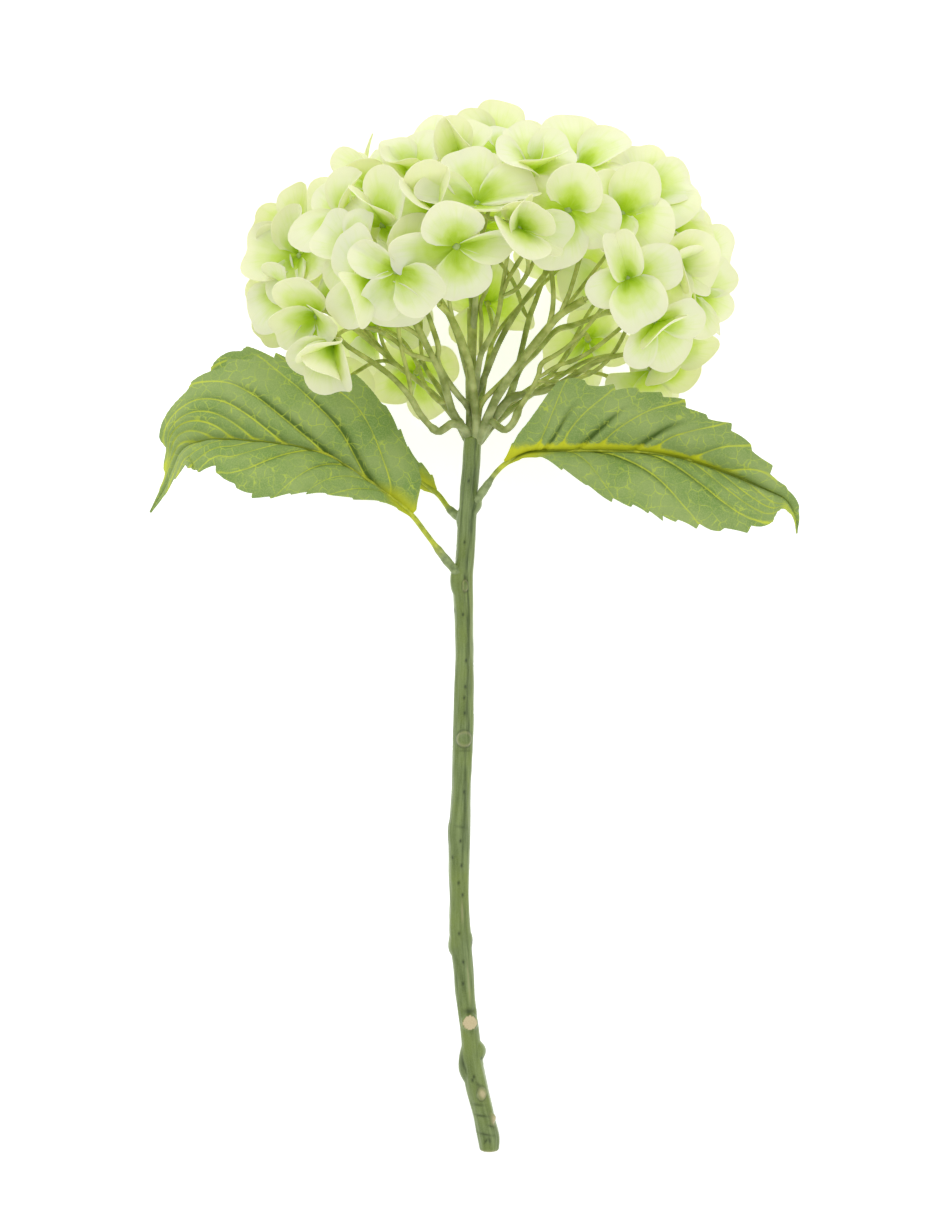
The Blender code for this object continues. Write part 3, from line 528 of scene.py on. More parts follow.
# Base and tip radius, share of the length in the thicker sleeve, then across, along, up.
RAYS = [
    # the middle strand and the one before it
    (3.0, 2.1, 0.0, [(1.1, 319.1, -0.5), (0.7, 335.5, -0.5), (0.5, 355.4, -1.0),
        (1.0, 375.2, 0.0), (0.7, 386.0, 2.0)]),
    (2.1, 1.5, 0.0, [(1.8, 319.9, 0.2), (2.9, 332.3, 3.5), (1.7, 344.9, 8.0), (0.0, 358.2, 14.0),
        (-2.5, 365.8, 18.0), (-5.4, 373.2, 23.0), (-9.3, 380.4, 29.0), (-13.6, 384.6, 34.0)]),
    (1.6, 1.1, 0.0, [(2.7, 346.3, 1.0), (3.5, 356.1, 3.0), (5.3, 365.3, 6.0), (9.4, 372.4, 10.0),
        (12.8, 381.9, 14.0), (14.4, 391.8, 18.0)]),
    (1.05, 0.95, 0.0, [(14.1, 389.4, 17.0), (17.1, 396.8, 22.0), (21.2, 403.7, 26.0)]),
    (1.05, 0.95, 0.0, [(14.2, 389.9, 17.5), (21.1, 392.9, 22.0), (25.9, 399.2, 27.0),
        (29.2, 405.6, 30.0)]),
    (1.0, 0.95, 0.0, [(4.7, 365.1, 2.0), (5.3, 378.9, 4.0), (4.7, 387.1, 6.0), (7.4, 393.6, 10.0)]),
    # to the right
    (2.3, 1.7, 0.0, [(1.8, 321.0, 0.2), (5.7, 330.3, 3.0), (9.4, 339.0, 6.0), (13.3, 346.8, 8.5),
        (21.2, 358.3, 13.0), (32.9, 372.5, 20.0), (40.5, 380.8, 25.0), (51.1, 387.0, 31.0)]),
    (1.3, 1.0, 0.0, [(34.8, 374.8, 21.0), (36.9, 381.9, 24.0), (37.3, 392.2, 28.0),
        (34.9, 410.0, 34.0)]),
    (1.2, 1.0, 0.0, [(40.1, 380.6, 25.0), (44.3, 389.6, 30.0), (47.1, 398.4, 34.0),
        (49.8, 407.6, 38.0)]),
    (1.9, 1.2, 0.0, [(1.8, 322.1, -0.8), (8.0, 333.1, -1.5), (12.5, 338.1, -2.0),
        (17.5, 345.2, -4.0), (20.0, 351.8, -6.0), (23.5, 360.0, -8.0), (30.6, 367.1, -10.0),
        (39.7, 377.2, -13.0), (48.8, 380.1, -15.0), (60.0, 384.9, -18.0)]),
    (2.0, 1.1, 0.36, [(1.8, 321.5, 0.0), (8.0, 332.4, 1.0), (12.4, 337.8, 2.0),
        (18.4, 344.6, 4.0), (25.8, 346.8, 6.0), (35.1, 348.2, 9.0), (46.8, 354.3, 14.0),
        (58.6, 360.8, 19.0), (73.8, 364.0, 24.0)]),
    (1.6, 1.1, 0.0, [(18.0, 345.7, -4.0), (20.3, 352.0, -8.0), (24.7, 371.7, -16.0),
        (27.7, 384.1, -20.0), (30.8, 392.5, -23.0), (36.0, 408.2, -28.0)]),
    (1.0, 0.95, 0.0, [(27.5, 382.6, -20.0), (24.8, 387.9, -23.0), (22.6, 395.4, -27.0)]),
    (1.6, 1.05, 0.5, [(1.8, 324.4, 0.2), (6.9, 333.1, 3.0), (9.9, 334.0, 5.0),
        (12.9, 331.6, 7.0), (16.1, 330.0, 9.0), (19.8, 333.4, 10.0), (22.7, 340.2, 11.0),
        (27.1, 346.6, 12.0), (31.0, 354.4, 13.0), (32.5, 359.7, 14.0), (38.8, 363.4, 17.0)]),
    (1.0, 0.95, 0.0, [(30.8, 353.2, 13.0), (38.8, 358.1, 16.0), (45.6, 360.2, 20.0)]),
    (1.0, 0.95, 0.0, [(30.1, 352.2, 13.0), (36.9, 351.5, 14.0), (44.7, 351.4, 16.0),
        (54.5, 354.9, 19.0)]),
    (1.3, 1.1, 0.0, [(3.0, 336.3, 3.0), (6.4, 343.9, 5.0), (12.4, 349.8, 8.0),
        (20.2, 357.5, 11.0), (26.1, 364.1, 14.0)]),
    # to the left
    (1.7, 1.1, 0.33, [(1.0, 323.5, 0.0), (-2.7, 331.1, 3.0), (-7.9, 333.0, 7.0),
        (-10.9, 331.1, 9.0), (-14.3, 329.1, 11.0), (-18.2, 331.7, 13.0), (-23.1, 337.5, 15.0),
        (-27.0, 344.2, 17.0), (-33.8, 351.8, 21.0), (-41.5, 357.8, 26.0), (-54.8, 365.9, 34.0)]),
    (1.0, 0.95, 0.0, [(-26.2, 344.0, 17.0), (-27.9, 353.8, 20.0), (-31.6, 369.1, 25.0),
        (-32.1, 380.3, 30.0)]),
    (2.0, 1.4, 0.0, [(1.1, 322.0, -0.5), (-2.7, 330.9, 1.0), (-6.5, 335.3, 3.0),
        (-9.4, 343.0, 6.0), (-12.8, 354.5, 11.0), (-17.2, 363.0, 16.0), (-21.1, 370.5, 20.0),
        (-25.9, 379.7, 26.0), (-29.2, 385.2, 30.0)]),
    (1.15, 1.0, 0.0, [(-15.5, 360.7, 14.0), (-22.1, 362.3, 18.0), (-27.9, 364.3, 21.0),
        (-33.7, 369.1, 25.0), (-39.5, 372.7, 28.0)]),
    (1.15, 1.0, 0.0, [(-18.4, 366.8, 17.0), (-24.0, 372.3, 22.0), (-33.6, 377.6, 28.0),
        (-39.3, 381.0, 33.0)]),
    (1.1, 0.95, 0.0, [(-9.9, 342.6, 5.0), (-14.4, 343.6, 0.0), (-20.1, 350.7, -12.0),
        (-23.8, 360.4, -26.0)]),
    (1.5, 1.15, 0.0, [(0.5, 336.4, 1.0), (-2.0, 342.2, 4.0), (-5.4, 346.0, 6.0),
        (-10.4, 352.7, 9.0), (-14.5, 360.8, 13.0), (-14.3, 366.9, 16.0), (-16.2, 373.5, 19.0),
        (-18.3, 379.6, 22.0)]),
    # down to the table side, and through the middle to the top
    (1.9, 1.2, 0.3, [(1.0, 322.0, -0.8), (-10.0, 344.0, -16.0), (-20.0, 360.0, -36.0)]),
    (1.9, 1.2, 0.0, [(1.5, 323.0, -0.8), (6.0, 352.0, -20.0), (10.0, 372.0, -42.0)]),
    (1.9, 1.2, 0.3, [(1.5, 322.0, -0.8), (19.0, 344.0, -18.0), (36.0, 357.0, -38.0)]),
    (1.6, 1.1, 0.0, [(0.8, 324.0, -0.8), (-14.0, 345.0, -13.0), (-34.0, 362.0, -24.0)]),
    (1.6, 1.1, 0.0, [(1.6, 324.0, -0.8), (22.0, 343.0, -14.0), (50.0, 362.0, -24.0)]),
    (1.6, 1.1, 0.0, [(2.0, 345.0, -1.0), (-8.0, 380.0, -8.0), (-24.0, 408.0, -14.0)]),
    (1.6, 1.1, 0.0, [(2.4, 345.0, -1.0), (18.0, 380.0, -9.0), (40.0, 410.0, -10.0)]),
    (1.6, 1.1, 0.0, [(1.4, 375.0, 0.0), (3.0, 394.0, 12.0), (5.0, 410.0, 24.0)]),
]
PEDICEL_RADIUS = 0.95
SOCKET_RADIUS = 1.4
SOCKET_LENGTH = 4.0
SOCKET_DROP = 0.5  # from a floret's middle down to its socket
PEDICEL_BEND = 0.35  # how far it runs straight at each end, as a share of its reach
FORKS_ON_RAY = (0.55, 0.8)  # shares of a ray's length
RAY_SIDES = 12
PEDICEL_SIDES = 8
RAY_RINGS = 44
PEDICEL_RINGS = 22


def on_egg(across, along, side):
    """The point of the bloom's egg over (1) or under (-1) a place in the stem's plane."""
    above = along - BLOOM_MIDDLE.y
    flat_x = (across - BLOOM_MIDDLE.x - BLOOM_LEAN * above) / BLOOM_RADII.x
    flat_y = above / BLOOM_RADII.y
    height = side * math.sqrt(max(0.0, 1 - flat_x ** 2 - flat_y ** 2))
    return Vector((across, along, BLOOM_MIDDLE.z + BLOOM_RADII.z * height))


def facing(middle):
    """Where a floret faces: off the egg, a little away from the hub and, off the table, upwards."""
    off = middle - BLOOM_MIDDLE
    straight = Vector([a / r ** 2 for a, r in zip(off, BLOOM_RADII)]).normalized()
    lift = FACE_LIFT * min(1.0, max(0.0, (middle.z + LIFT_HEIGHT) / LIFT_HEIGHT))
    away = (middle - HUB).normalized()
    face = straight * (1 - AWAY_SHARE) + away * AWAY_SHARE + Vector((0, 0, lift))
    return face.normalized()


def spiral_spots():
    """Even spots on the egg, down to the bloom's rim."""
    spots = []
    for step in range(SPIRAL_SPOTS):
        height = 1 - 2 * (step + 0.5) / SPIRAL_SPOTS
        spread = math.sqrt(1 - height ** 2)
        angle = step * GOLDEN_ANGLE
        unit = Vector((spread * math.sin(angle), height, spread * math.cos(angle)))
        spot = BLOOM_MIDDLE + unit * BLOOM_RADII
        spot.x += BLOOM_LEAN * (spot.y - BLOOM_MIDDLE.y)
        rim = RIM_BACK + RIM_RISE * (spot.z - (BLOOM_MIDDLE.z - BLOOM_RADII.z))
        rim += OPEN_RISE * math.exp(-((spot.x - OPEN_MIDDLE) / OPEN_WIDTH) ** 2)
        rim += LEAF_RISE if spot.x < OVER_LEAF else 0.0
        if spot.y > rim:
            spots.append(spot)
    return spots


def place_florets():
    """Every floret as (middle, facing, spin, cup, size): first the placed ones, then the rest."""
    placed = []
    for across, along, side, face_across, face_along, spin, cup, size in PLACED_FLORETS:
        middle = on_egg(across, along, side)
        straight = math.sqrt(1 - face_across ** 2 - face_along ** 2)
        face = Vector((face_across, face_along, side * straight))
        placed.append((middle, face, math.radians(spin), math.radians(cup), size))
    dice = random.Random(FLORET_SEED)
    spots = spiral_spots()
    rooms = [min((spot - floret[0]).length for floret in placed) for spot in spots]
    while max(rooms) > LEAST_ROOM:
        middle = spots[rooms.index(max(rooms))]
        spin = dice.uniform(0, math.pi / 2)
        cup = math.radians(dice.uniform(*SPIRAL_CUP))
        size = dice.uniform(*SPIRAL_SIZE)
        placed.append((middle, facing(middle), spin, cup, size))
        rooms = [min(room, (spot - middle).length) for room, spot in zip(rooms, spots)]
    return placed


def frames_along(places):
    """For each place of a route, its two side directions, carried along without twisting."""
    frames = []
    side = None
    for i, place in enumerate(places):
        ahead = (places[min(i + 1, len(places) - 1)] - places[max(i - 1, 0)]).normalized()
        side = ahead.orthogonal() if side is None else side - ahead * side.dot(ahead)
        side.normalize()
        frames.append((place, side.copy(), ahead.cross(side)))
    return frames


def shape_strand(strand, route, thickness, rings, ripeness=(0.0, 0.0)):
    """Roll a unit grid round a route, as thick as thickness(share) says, in mm.

    The wash goes from grey-green to yellow-green with the ripeness at its two ends.
    """
    places = [Vector(along_route(route, row / rings)[:3]) for row in range(rings + 1)]
    frames = frames_along(places)
    ripe = []
    for vertex in strand.data.vertices:
        row = round(vertex.co.y * rings)
        place, side, top = frames[row]
        turn = vertex.co.x * 2 * math.pi
        radius = thickness(row / rings)
        spot = place + (side * math.cos(turn) + top * math.sin(turn)) * radius
        ripe.append(ripeness[0] + (ripeness[1] - ripeness[0]) * row / rings)
        vertex.co = lay(*spot)
    write_values(strand, "ripeness", ripe)


def copy_piece(pattern, name):
    """A copy of an object with a mesh of its own."""
    copy = bpy.data.objects.new(name, pattern.data.copy())
    bpy.context.scene.collection.objects.link(copy)
    return copy


def join_pieces(name, pieces):
    """Join pieces into the first one and name it."""
    select_only(*pieces)
    bpy.ops.object.join()
    pieces[0].name = name
    return pieces[0]


def pedicel_route(floret, fork, direction):
    """From the fork along the ray's own direction, then round into the floret's back."""
    middle, normal = floret[:2]
    end = middle - normal * SOCKET_DROP
    reach = (end - fork).length
    lead = fork + direction * reach * PEDICEL_BEND
    arrive = end - normal * reach * PEDICEL_BEND
    route = []
    for step in range(PEDICEL_RINGS + 1):
        t = step / PEDICEL_RINGS
        s = 1 - t
        point = fork * s ** 3 + lead * 3 * s * s * t + arrive * 3 * s * t * t + end * t ** 3
        route.append(tuple(point))
    return route


def choose_forks(florets, ends, forks):
    """The fork that carries each floret: every ray's end carries one, the rest go where it is near."""
    def reach(floret, fork):
        off = floret[0] - fork[0]
        return off.length * (1.5 - off.normalized().dot(fork[1]))

    chosen = {}
    for end in ends:
        free = [number for number in range(len(florets)) if number not in chosen]
        chosen[min(free, key=lambda number: reach(florets[number], end))] = end
    for number, floret in enumerate(florets):
        if number not in chosen:
            chosen[number] = min(ends + forks, key=lambda fork: reach(floret, fork))
    return [chosen[number] for number in range(len(florets))]


def make_branches(florets):
    """Every ray with its sleeve, and a pedicel with its socket for each floret."""
    ray_pattern = unit_grid("ray_pattern", RAY_SIDES, RAY_RINGS)
    pedicel_pattern = unit_grid("pedicel_pattern", PEDICEL_SIDES, PEDICEL_RINGS)
    strands = []
    ends = []
    forks = []
    for number, (base, tip, sleeve, points) in enumerate(RAYS):
        route = smooth_route(points, 1.0)
        length = len(route)

        def ray_thickness(share, base=base, tip=tip, sleeve=sleeve, length=length, number=number):
            body = (base + (tip - base) * share) * (0.6 + 0.4 * min(1.0, share * length / 6))
            swell = 0.05 * base * math.sin(share * length / 4.3 + number)
            if sleeve:
                past = (share - sleeve) * length
                body += 0.3 / (1 + math.exp(past * 3)) + 0.3 * math.exp(-((past + 1.2) / 1.3) ** 2)
            return body + swell

        strand = copy_piece(ray_pattern, f"ray_{number}")
        ripe = (0.1, 0.9) if base > 1.4 else (0.7, 0.9)
        shape_strand(strand, route, ray_thickness, RAY_RINGS, ripe)
        strands.append(strand)
        for share in FORKS_ON_RAY:
            here, before = (Vector(along_route(route, part)[:3]) for part in (share, share - 0.06))
            forks.append((here, (here - before).normalized()))
        end, before = Vector(route[-1]), Vector(route[-4])
        ends.append((end, (end - before).normalized()))
    carriers = choose_forks(florets, ends, forks)
    for number, (floret, (fork, direction)) in enumerate(zip(florets, carriers)):
        route = pedicel_route(floret, fork - direction * 1.5, direction)
        length = sum(math.dist(a, b) for a, b in zip(route, route[1:]))

        def pedicel_thickness(share, length=length):
            left = (1 - share) * length
            socket = (SOCKET_RADIUS - PEDICEL_RADIUS) / (1 + math.exp((left - SOCKET_LENGTH) * 2.2))
            start = 0.2 * math.exp(-(share * length / 3.0) ** 2)
            return PEDICEL_RADIUS + socket + start

        strand = copy_piece(pedicel_pattern, f"pedicel_{number}")
        shape_strand(strand, route, pedicel_thickness, PEDICEL_RINGS, (0.7, 1.0))
        strands.append(strand)
    bpy.data.objects.remove(ray_pattern)
    bpy.data.objects.remove(pedicel_pattern)
    branches = join_pieces("rays_and_pedicels", strands)
    close_tube(branches)
    return branches


def moulded_ray():
    """Green polyethylene strand, satin: grey-green by the cane, yellow-green by the florets."""
    material, shader = new_material("moulded_polyethylene_ray")
    where = add_node(material, "TexCoord").outputs["Object"]
    age = add_node(material, "Attribute", attribute_name="ripeness")
    wash = noise_over(material, where, 160.0, 4.0)
    light = remap(material, wash, (0.38, 0.62))
    old = blend(material, light, "#707D4C", "#A6B080")
    young = blend(material, light, "#98A63C", "#C2CB68")
    green = blend(material, age.outputs["Fac"], old, young)
    grain = noise_over(material, where, 1500.0, 2.0)
    bump = add_node(material, "Bump", {"Strength": 0.2, "Distance": 0.0002, "Height": grain})
    set_inputs(shader, {"Base Color": green, "Normal": bump, "Roughness": 0.5,
                        "Specular IOR Level": 0.35, "Subsurface Weight": 0.1,
                        "Subsurface Scale": 0.002})
    return material


florets = place_florets()
branches = make_branches(florets)
ray_plastic = moulded_ray()
finish_piece(branches, ray_plastic, ["flower_branches"])


# --- Florets ------------------------------------------------------------------------------------
# Each floret is four broad petals cut from white silk, dyed lime from the heart outwards and
# pressed over a hot form, threaded on the socket and held by a small green bead.

FLORET_RADIUS = 25.0
PETAL_THICKNESS = 0.25
PETAL_COLUMNS = 22
PETAL_ROWS = 12
PETAL_HALF_ANGLE = math.radians(62)
PETAL_EDGE = 0.965  # how near its side the petal's outline comes to a point at the heart
HEART = 0.8  # radius of the hole round the bead
PAIR_RISE = math.radians(8)  # two petals stand over the other two
RUFFLE = 0.024  # of the rim, as a share of the radius
FINE_RUFFLE = 0.014
DENT_WIDTH = 0.16  # of the notch in the rim, as a share of the half petal
CREASE = 0.16  # how high the pressed creases stand at the rim
LOOSE_TURN = 0.09  # how far a petal strays from its place, in radians
LOOSE_RISE = 0.07
LAYER = 0.25  # between the two pairs of petals
PETAL_SEED = 23
FOLDED_SHARE = 0.24  # how many petals are folded along their middle
# What a petal tries where its neighbours are in its way: more or less rise, in degrees.
PETAL_TRIES = [0, 10, -10, 20, -20, 32, -30, 45, 58]
UPPER_FROM = 12  # over the bloom's middle
MIDDLE_HALF = 32  # half the width of the middle parts
TABLE_CLEARANCE = 0.3 * MM
DYE_STEP = 0.37  # from one petal's number to the next one's, in the dye's noise
BEAD_RADIUS = 1.7
BEAD_LIFT = 0.6
BEAD_FLATNESS = 0.75


def bend(distance, start, turn):
    """Where a strip that rises at an angle and turns evenly ends up: (outwards, upwards)."""
    if abs(turn) < 1e-6:
        return distance * math.cos(start), distance * math.sin(start)
    end = start + turn
    span = distance / turn
    return span * (math.sin(end) - math.sin(start)), span * (math.cos(start) - math.cos(end))


def floret_frame(normal, spin):
    """Axes of a floret, in the stem's frame: two in its plane."""
    side = Vector((1, 0, 0)) if abs(normal.x) < 0.9 else Vector((0, 1, 0))
    right = (side - normal * side.dot(normal)).normalized()
    top = normal.cross(right)
    first = right * math.cos(spin) + top * math.sin(spin)
    return first, normal.cross(first)


def petal_place(across, along, form):
    """A point of a petal in the stem's frame; across runs from -1 to 1, along from heart to rim."""
    radius = form["radius"]
    lobe = across * PETAL_EDGE
    reach = radius * math.cos(math.pi / 2 * lobe) ** form["blunt"]
    reach *= 1 + form["skew"] * lobe + RUFFLE * math.sin(5.0 * lobe + form["phase"])
    reach *= 1 + FINE_RUFFLE * math.sin(9.0 * lobe + form["phase"] * 2.3)
    reach *= 1 - form["dent"] * math.exp(-((lobe - form["skew"]) / DENT_WIDTH) ** 2)
    away = HEART + (reach - HEART) * along
    angle = lobe * PETAL_HALF_ANGLE
    ahead = away * math.cos(angle)
    width, side_rise = bend(
        abs(away * math.sin(angle)), form["fold"], form["curl"] * abs(away * math.sin(angle)) / radius)
    aside = math.copysign(width, lobe)
    share = ahead / radius
    out, rise = bend(ahead, form["rise"], form["turn"] * share)
    slope = form["rise"] + form["turn"] * share
    lift = side_rise + form["twist"] * ahead * aside / radius
    lift += form["wave"] * share ** 2 * math.sin(3.4 * lobe + form["phase"])
    lift += form["roll"] * max(0.0, (along - 0.6) / 0.4) ** 2 * (0.7 + 0.5 * math.sin(
        2.6 * lobe + form["phase"] * 1.7))
    lift += CREASE * share * math.cos(11.0 * lobe)
    out -= lift * math.sin(slope)
    rise += lift * math.cos(slope)
    return (form["middle"] + form["ahead"] * out + form["aside"] * aside
            + form["normal"] * (rise + form["layer"]))


def petal_form(floret, petal, dice):
    """How one petal of a floret is bent before its neighbours push it."""
    middle, normal, spin, cup, size = floret
    first, second = floret_frame(normal, spin)
    angle = petal * math.pi / 2 + dice.uniform(-LOOSE_TURN, LOOSE_TURN)
    ahead = first * math.cos(angle) + second * math.sin(angle)
    inner = petal % 2 == 0
    rise = cup + (PAIR_RISE if inner else -PAIR_RISE) + dice.uniform(-LOOSE_RISE, LOOSE_RISE)
    folded = dice.random() < FOLDED_SHARE
    return {
        "middle": middle, "normal": normal, "ahead": ahead, "aside": normal.cross(ahead),
        "radius": FLORET_RADIUS * size * dice.uniform(0.9, 1.12), "rise": rise,
        "turn": -0.9 * rise + dice.uniform(-0.45, 0.3),
        "fold": dice.uniform(0.45, 0.8) if folded else dice.uniform(0.0, 0.22),
        "curl": dice.uniform(0.0, 0.8), "twist": dice.uniform(-0.32, 0.32),
        "wave": dice.uniform(0.4, 2.2), "roll": dice.uniform(-1.8, 3.2),
        "blunt": dice.uniform(0.2, 0.72), "skew": dice.uniform(-0.16, 0.16),
        "dent": max(0.0, dice.uniform(-0.05, 0.09)), "phase": dice.uniform(0, 2 * math.pi),
        "layer": LAYER if inner else 0.0,
    }


NEIGHBOUR_REACH = 62  # between the middles of florets whose petals can meet, in mm
TRY_COLUMNS = 8
TRY_ROWS = 5


def trial_petal(form):
    """A petal's points and faces on a coarse grid, to test it against its neighbours."""
    points = [petal_place(2 * i / TRY_COLUMNS - 1, j / TRY_ROWS, form)
              for j in range(TRY_ROWS + 1) for i in range(TRY_COLUMNS + 1)]
    wide = TRY_COLUMNS + 1
    faces = [(j * wide + i, j * wide + i + 1, (j + 1) * wide + i + 1, (j + 1) * wide + i)
             for j in range(TRY_ROWS) for i in range(TRY_COLUMNS)]
    return points, faces


def settle_petals(florets):
    """Choose each petal's rise so that it crosses its neighbours as little as it can."""
    dice = random.Random(PETAL_SEED)
    settled = []
    trees = []
    for floret in florets:
        near = [tree for middle, tree in trees if (middle - floret[0]).length < NEIGHBOUR_REACH]
        forms = []
        for petal in range(4):
            form = petal_form(floret, petal, dice)
            natural = form["rise"]
            best = None
            for extra in PETAL_TRIES:
                form["rise"] = natural + math.radians(extra)
                points, faces = trial_petal(form)
                tree = BVHTree.FromPolygons(points, faces)
                hits = sum(len(tree.overlap(other)) for other in near)
                score = hits + 0.02 * abs(extra)
                if best is None or score < best[0]:
                    best = (score, form["rise"])
                if hits == 0:
                    break
            form["rise"] = best[1]
            forms.append(form)
        points, faces = [], []
        for form in forms:
            more_points, more_faces = trial_petal(form)
            faces += [tuple(i + len(points) for i in face) for face in more_faces]
            points += more_points
        trees.append((floret[0], BVHTree.FromPolygons(points, faces)))
        settled.append(forms)
    return settled


def bloom_part(middle):
    """Which part of the bloom a floret belongs to, as a piece's name."""
    level = "upper" if middle.z > BLOOM_MIDDLE.z + UPPER_FROM else "lower"
    off = middle.x - BLOOM_MIDDLE.x
    side = "left" if off < -MIDDLE_HALF else "right" if off > MIDDLE_HALF else "middle"
    return f"florets_{level}_{side}"


def shape_petal(petal, form, number):
    """Bend a copy of the petal pattern and write its number, which varies its dye."""
    for vertex in petal.data.vertices:
        place = lay(*petal_place(2 * vertex.co.x - 1, vertex.co.y, form))
        place.z = max(place.z, TABLE_CLEARANCE * (1 + 0.1 * (number % 5)))
        vertex.co = place
    write_values(petal, "petal_number", [number * DYE_STEP] * len(petal.data.vertices))


def thicken(piece, thickness, material_offset=0):
    """Give a sheet its thickness, in mm, half to each side."""
    select_only(piece)
    solidify = piece.modifiers.new("Thickness", "SOLIDIFY")
    solidify.thickness = thickness * MM
    solidify.offset = 0.0
    solidify.material_offset = material_offset
    bpy.ops.object.modifier_apply(modifier=solidify.name)


def make_florets(florets):
    """The bloom's petals, joined by the part of the bloom they belong to."""
    pattern = unit_grid("petal_pattern", PETAL_COLUMNS, PETAL_ROWS)
    groups = {}
    number = 0
    for floret, forms in zip(florets, settle_petals(florets)):
        group = groups.setdefault(bloom_part(floret[0]), [])
        for form in forms:
            petal = copy_piece(pattern, f"petal_{number}")
            shape_petal(petal, form, number)
            group.append(petal)
            number += 1
    bpy.data.objects.remove(pattern)
    pieces = []
    for name, petals in sorted(groups.items()):
        piece = join_pieces(name, petals)
        thicken(piece, PETAL_THICKNESS)
        pieces.append(piece)
    return pieces


def let_light_through(material, shader, colour, share):
    """Let a share of the light on a cloth through it, tinted by a colour."""
    through = add_node(material, "BsdfTranslucent", {"Color": colour})
    both = add_node(material, "MixShader", {0: share, 1: shader, 2: through})
    set_inputs(material.node_tree.nodes["Material Output"], {"Surface": both})


def dyed_silk():
    """White polyester silk, dyed lime from the heart and left white at the rim.

    It lets much light through. The pressed veins fan out about 2 mm apart at the rim.
    """
    material, shader = new_material("dyed_polyester_silk")
    place = add_node(material, "UVMap", uv_map="UVMap")
    split = add_node(material, "SeparateXYZ", {"Vector": place})
    number = add_node(material, "Attribute", attribute_name="petal_number")
    spot = add_node(material, "CombineXYZ", {
        "X": split.outputs["X"], "Y": split.outputs["Y"], "Z": number.outputs["Fac"]})
    cloud = noise_over(material, spot, 3.2, 3.0)
    drift = product(material, cloud, 0.55)
    spread = calculate(material, "ADD", split.outputs["Y"], drift)
    fan = add_node(material, "Mapping", {"Vector": spot, "Scale": (30.0, 1.6, 1.0)})
    veins = noise_over(material, fan, 1.0, 2.0)
    vein_lines = remap(material, veins, (0.5, 0.72), (0.0, 0.35))
    heart = remap(material, spread, (0.32, 0.72), shape="SMOOTHSTEP")
    middle = remap(material, spread, (0.5, 1.12), shape="SMOOTHSTEP")
    rim = remap(material, split.outputs["Y"], (0.76, 1.0), (0.0, 0.9))
    lime = blend(material, heart, "#B4D42A", "#E4F480")
    white = blend(material, middle, lime, "#FFFFF8")
    veined = blend(material, vein_lines, white, "#DFF08E")
    edged = blend(material, rim, veined, "#FCF8F6")
    glow = blend(material, middle, "#E4F420", "#F8FCC4")
    weave = add_node(material, "Bump", {"Strength": 0.25, "Distance": 0.0002, "Height": veins})
    set_inputs(shader, {"Base Color": edged, "Normal": weave, "Roughness": 0.7,
                        "Specular IOR Level": 0.3})
    let_light_through(material, shader, glow, 0.47)
    return material


def make_beads(florets):
    """The small green beads in the hearts of the florets."""
    bpy.ops.object.select_all(action="DESELECT")
    bpy.ops.mesh.primitive_uv_sphere_add(segments=12, ring_count=8, radius=1.0)
    pattern = bpy.context.object
    beads = []
    for number, (middle, normal, spin, *_) in enumerate(florets):
        first, second = floret_frame(normal, spin)
        bead = copy_piece(pattern, f"bead_{number}")
        for vertex in bead.data.vertices:
            x, y, z = vertex.co
            lobes = 1 + 0.12 * math.cos(4 * math.atan2(y, x)) * math.hypot(x, y)
            spot = middle + (first * x + second * y) * BEAD_RADIUS * lobes
            vertex.co = lay(*(spot + normal * (BEAD_LIFT + z * BEAD_RADIUS * BEAD_FLATNESS)))
        beads.append(bead)
    bpy.data.objects.remove(pattern)
    return join_pieces("floret_beads", beads)


silk = dyed_silk()
for piece in make_florets(florets):
    finish_piece(piece, silk, ["florets"])
beads = make_beads(florets)


def bead_plastic():
    """Pale green polyethylene bead, satin."""
    material, shader = new_material("moulded_polyethylene_bead")
    where = add_node(material, "TexCoord").outputs["Object"]
    wash = noise_over(material, where, 600.0, 2.0)
    green = blend(material, wash, "#8DA84A", "#B5C884")
    set_inputs(shader, {"Base Color": green, "Roughness": 0.5})
    return material


finish_piece(beads, bead_plastic(), ["florets"])
